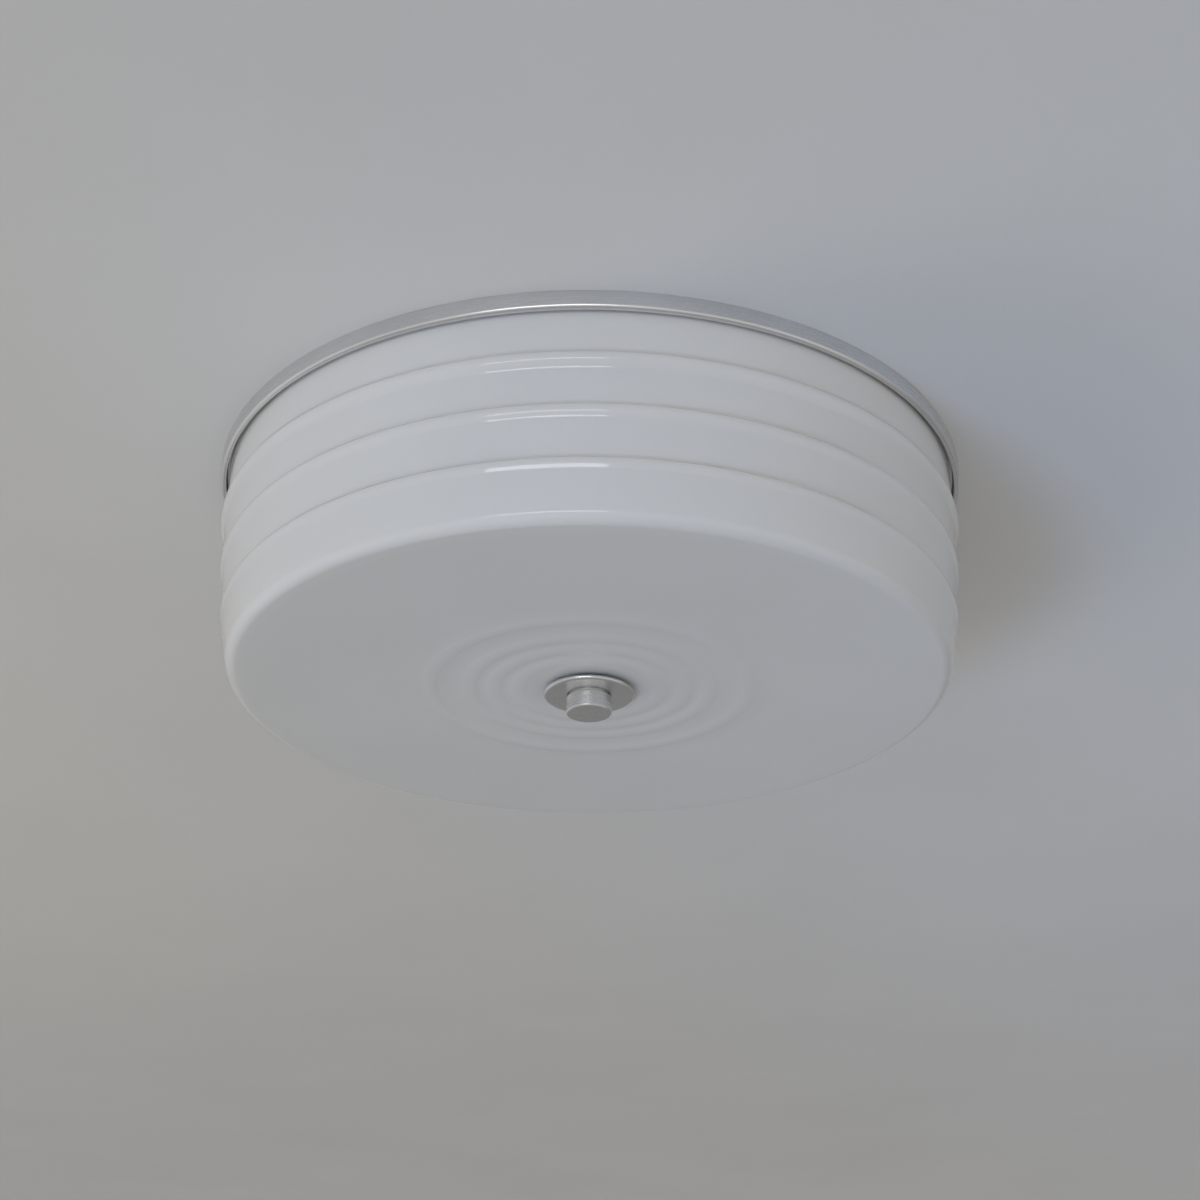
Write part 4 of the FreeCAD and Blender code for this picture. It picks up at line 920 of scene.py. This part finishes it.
def screw_part(shank, head, height, length, pitch, cross=False, washer=False):
    """A slotted pan head below z = 0 and a threaded shank above it. cross cuts a second
    slot and washer gives a straight-sided head with a flange."""
    outline = [(0.0, -height), (head * 0.45, -height * 0.98), (head * 0.72, -height * 0.88)]
    outline += [(head * 0.9, -height * 0.68), (head * 0.985, -height * 0.42)]
    outline += [(head, -height * 0.2), (head * 0.97, -0.02), (head * 0.94, 0.0)]
    if washer:
        outline = [(0.0, -height), (head * 0.66, -height), (head * 0.76, -height * 0.9)]
        outline += [(head * 0.76, -height * 0.32), (head, -height * 0.3), (head, 0.0)]
    outline.append((shank, 0.0))
    outline += thread_rows(shank, 0.25, length - 0.4, pitch, shank * 0.17, 6, fade=0.7)
    outline += [(shank * 0.75, length), (0.0, length)]
    part = lathe(outline, 40, closed=False, pitch=pitch)
    low, deep, half = -height - 1, -height * 0.48, head * 0.13
    slots = [box_part((-head * 1.2, head * 1.2), (-half, half), (low, deep))]
    if cross:
        slots.append(box_part((-half, half), (-head * 0.55, head * 0.55), (low, deep + 0.3)))
    return carved(part, slots)


def make_screws():
    canopy = screw_part(**MACHINE_SCREW, length=16.5, cross=True)
    places = [(KEYHOLE_REACH, 35), (-KEYHOLE_REACH, -62)]
    parts = [(canopy, spot(x, 0, FLOOR, "Z", turn)) for x, turn in places]
    piece("slotted_canopy_screws", parts, "fixture", "zinc_steel", ["canopy_screws"])

    bar = screw_part(**MACHINE_SCREW, length=3.8, washer=True)
    pan = screw_part(**MACHINE_SCREW, length=2.4, washer=True)
    bar_place = spot(BAR_SCREW_REACH, 0, BAR_SCREW_SEAT, "Z", 20)
    parts = [(bar, bar_place), (pan, spot(*GROUND_PLACE, PAN_SCREW_SEAT, "X", 180))]
    piece("green_ground_screws", parts, "fixture", "green_steel", ["ground_screws"])

    terminal = screw_part(shank=1.2, head=2.0, height=1.4, length=5.0, pitch=0.5)
    holder = screw_part(shank=1.6, head=3.2, height=2.0, length=9.0, pitch=0.7, cross=True)
    terminals, holders = [], []
    for side in (-1, 1):
        for k, way in enumerate((-1, 1)):
            turn = Matrix.Rotation(0.5 + 0.9 * k + 0.4 * side, 4, "Z")
            x, y = side * TERMINAL_REACH, -side * LAMP_ASIDE + way * TERMINAL_STEP
            terminals.append((terminal, spot(x, y, TERMINAL_SEAT, "X", 180) @ turn))
            x, y = side * HOLDER_REACH, -side * LAMP_ASIDE + way * HOLDER_STEP
            holders.append((holder, spot(x, y, HOLDER_LEVEL, "Y", -side * 90) @ turn))
    piece("slotted_terminal_screws", terminals, "fixture", "brass", ["terminal_screws"])
    piece("slotted_socket_screws", holders, "fixture", "zinc_steel", ["socket_screws"])


def make_rivets():
    """Domed heads below the brackets, the set ends flattened above the pan."""
    outline = [(0.0, -1.3)] + dome(3.8, 0.0, 1.3, (15, 30, 45, 60, 75))
    outline += [(3.8, 0.0), (2.0, 0.0), (2.0, 2.0), (2.6, 2.0), (2.8, 2.2), (2.7, 2.5)]
    outline += [(2.2, 2.6), (0.9, 2.55), (0.0, 2.5)]
    part = lathe(outline, 40, closed=False)
    parts = [(part, spot(x, y, RIVET_SEAT)) for side in (-1, 1) for x, y in rivet_places(side)]
    piece("domed_rivets", parts, "fixture", "zinc_steel", ["bracket_rivets"])


# ------------------------------------------------------------------ lampholders, bulbs

LAMP_PITCH = 3.63
LAMP_LEVEL = -52
MOUTH_REACH = 45
THIN_SHEET = 0.4
SHELL_THREAD, CAP_THREAD = 0.6, 0.68  # depths of their threads


def lamp_spot(number):
    """The matrix of a lampholder's own frame: Z out of its mouth, from its mouth."""
    side = -1 if number == 1 else 1
    return spot(side * MOUTH_REACH, -side * LAMP_ASIDE, LAMP_LEVEL, "Y", -side * 90)


def make_shell(number):
    """The lampholder's rolled screw shell."""
    inner = thread_rows(13.72, -2.4, -25.6, LAMP_PITCH, SHELL_THREAD, 9, fade=0.35)
    outline = [(13.9, -1.5), (13.5, -1.5)] + inner
    outline += [(13.5, -26.3), (7.5, -26.3), (7.5, -26.7), (13.9, -26.7)]
    outline += offset(inner, THIN_SHEET)
    part = (lathe(outline, 72, pitch=LAMP_PITCH, form=ridge), lamp_spot(number))
    nodes = [f"screw_shell_{number}"]
    piece(f"rolled_shell_{number}", [part], "fixture", "brass", nodes, sharp=50.0)


def make_cap(number):
    """The bulb's screw cap (a plain collar, a rolled thread and a shoulder in to the
    insulator) and the solder on its end."""
    outer = thread_rows(13.05, 0.6, -19.6, LAMP_PITCH, CAP_THREAD, 9, fade=0.45)
    outline = [(12.65, 4.0), (12.95, 3.96), (13.05, 3.7), (13.05, 2.6), (12.8, 2.3)]
    outline += [(12.8, 1.5), (13.05, 1.2)] + outer
    outline += [(13.0, -20.4), (12.6, -21.4), (11.8, -22.2), (10.6, -22.5), (10.6, -22.1)]
    outline += [(11.6, -21.8), (12.2, -21.2), (12.55, -20.2)]
    outline += offset(outer, -THIN_SHEET) + [(12.65, 1.2)]
    part = (lathe(outline, 72, pitch=LAMP_PITCH, form=ridge), lamp_spot(number))
    body, nodes = f"bulb_{number}", [f"bulb_cap_{number}"]
    piece(f"threaded_cap_{number}", [part], body, "cap_metal", nodes, sharp=50.0)
    outline = [(0.0, -26.0)] + dome(4.6, -24.9, 1.1, (20, 40, 60, 80))
    outline += [(4.6, -24.9), (4.5, -24.7), (0.0, -24.7)]
    tip = (lathe(outline, 48, closed=False), lamp_spot(number))
    nodes = [f"bulb_tip_{number}"]
    piece(f"solder_tip_{number}", [tip], body, "solder", nodes, sharp=50.0)


# ------------------------------------------------------------------ wiring and the mat

CONNECTOR_MOUTH, CONNECTOR_TIP, CONNECTOR_LENGTH = 5.8, 3.6, 22.0
CONNECTOR_PLACE = (12, 27, -9.9)
GRIP_START = 5.0
GRIP_ROWS, GRIP_STEP = 18, 0.78
FLUTES, FLUTE_DEPTH = 12, 0.62
MAT_INNER, MAT_OUTER = 80.0, 156.0
MAT_LOW, MAT_HIGH = -1.96, -0.36
MAT_HOLE = 4.1
MAT_RAGS, MAT_RAGGED = 14, 0.9  # how often and how far its edges wander
MAT_LUMPS, MAT_LUMPY = 0.11, 0.14  # how often and how far its faces do
MAT_SOFT_EDGE = 3.0  # how far in from an edge it gets thinner


def connector_radius(z):
    """The connector's plain outside, which narrows from its mouth to its tip."""
    return CONNECTOR_MOUTH + (CONNECTOR_TIP - CONNECTOR_MOUTH) * z / CONNECTOR_LENGTH


def grip_flutes(radius, z, angle):
    """Flutes for the connector's grip, on its outside only."""
    end = CONNECTOR_LENGTH - 1.0
    if z < GRIP_START or radius < connector_radius(z) - 0.4 or z > end:
        return radius
    ends = min(1.0, (z - GRIP_START) / 1.6, (end - z) / 2.0)
    return radius - FLUTE_DEPTH * ends * (0.5 - 0.5 * math.cos(FLUTES * angle)) ** 1.5


def make_connectors():
    """Twist-on connectors: a plain skirt, a fluted grip and a rounded tip."""
    length, outside = CONNECTOR_LENGTH, connector_radius
    outline = [(0.0, length - 0.1), (1.6, length - 0.2), (2.8, length - 0.8)]
    outline.append((outside(length - 1.9) - 0.05, length - 1.9))
    for k in range(GRIP_ROWS):
        z = length - 2.4 - k * GRIP_STEP
        outline.append((outside(z), z))
    outline += [(outside(5.2), 5.2), (outside(4.6) - 0.25, 4.6), (outside(4.0) - 0.02, 4.0)]
    outline += [(outside(1.0), 1.0), (CONNECTOR_MOUTH - 0.02, 0.4), (CONNECTOR_MOUTH - 0.3, 0.0)]
    outline += [(CONNECTOR_MOUTH - 0.9, 0.0), (CONNECTOR_MOUTH - 1.2, 0.3), (3.6, 9.0), (0.0, 9.0)]
    part = lathe(outline, 144, closed=False, flutes=grip_flutes)
    x, y, level = CONNECTOR_PLACE
    parts = [(part, spot(-side * x, side * y, level, "Y", side * 90)) for side in (1, -1)]
    nodes = ["wire_connectors"]
    piece("fluted_connectors", parts, "fixture", "orange_plastic", nodes, sharp=45.0)


def mat_point(sign, share, half, angle):
    """A point of the mat's face: share is how far out it is and half its half thickness."""
    way = Vector((math.cos(angle), math.sin(angle), 0))
    ragged = MAT_RAGGED * noise.noise(way * MAT_RAGS + Vector((0, 0, 7 * round(share))))
    radius = MAT_INNER + (MAT_OUTER - MAT_INNER) * share
    radius += ragged * max(0.0, 1 - min(share, 1 - share) * 12)
    lumps = noise.noise(way * radius * MAT_LUMPS + Vector((0, 0, sign * 3)))
    height = (MAT_LOW + MAT_HIGH) / 2 + sign * half * (1 - MAT_LUMPY + MAT_LUMPY * lumps)
    return way.x * radius, way.y * radius, height


def make_mat():
    """The glass fibre pad: uneven faces and soft, slightly ragged edges."""
    around, across = 240, 28
    verts, faces = [], []
    for sign in (1, -1):
        for k in range(across + 1):
            share = k / across
            edge = min(share, 1 - share) * (MAT_OUTER - MAT_INNER)
            thin = min(1.0, 0.45 + 0.55 * math.sqrt(min(edge / MAT_SOFT_EDGE, 1.0)))
            half = (MAT_HIGH - MAT_LOW) / 2 * thin
            verts += [mat_point(sign, share, half, TAU * i / around) for i in range(around)]
    count = (across + 1) * around
    for k in range(across):
        for i in range(around):
            j = (i + 1) % around
            a, b, c, d = k * around + i, k * around + j, (k + 1) * around + j, (k + 1) * around + i
            faces.append((a, d, c, b))
            faces.append((a + count, b + count, c + count, d + count))
    for k in (0, across):
        for i in range(around):
            a, b = k * around + i, k * around + (i + 1) % around
            faces.append((a, b, b + count, a + count))
    holes = [drilled(*place, MAT_HOLE) for side in (-1, 1) for place in rivet_places(side)]
    pad = (carved((verts, faces), holes), HERE)
    mat = piece("fibre_mat", [pad], "fixture", "glass_fibre", ["insulation_pad"], sharp=60.0)


make_shade()
make_pan()
make_knob()
make_rod()
make_nuts()
make_screws()
make_rivets()
for number in (1, 2):
    make_shell(number)
    make_cap(number)
make_connectors()
make_mat()
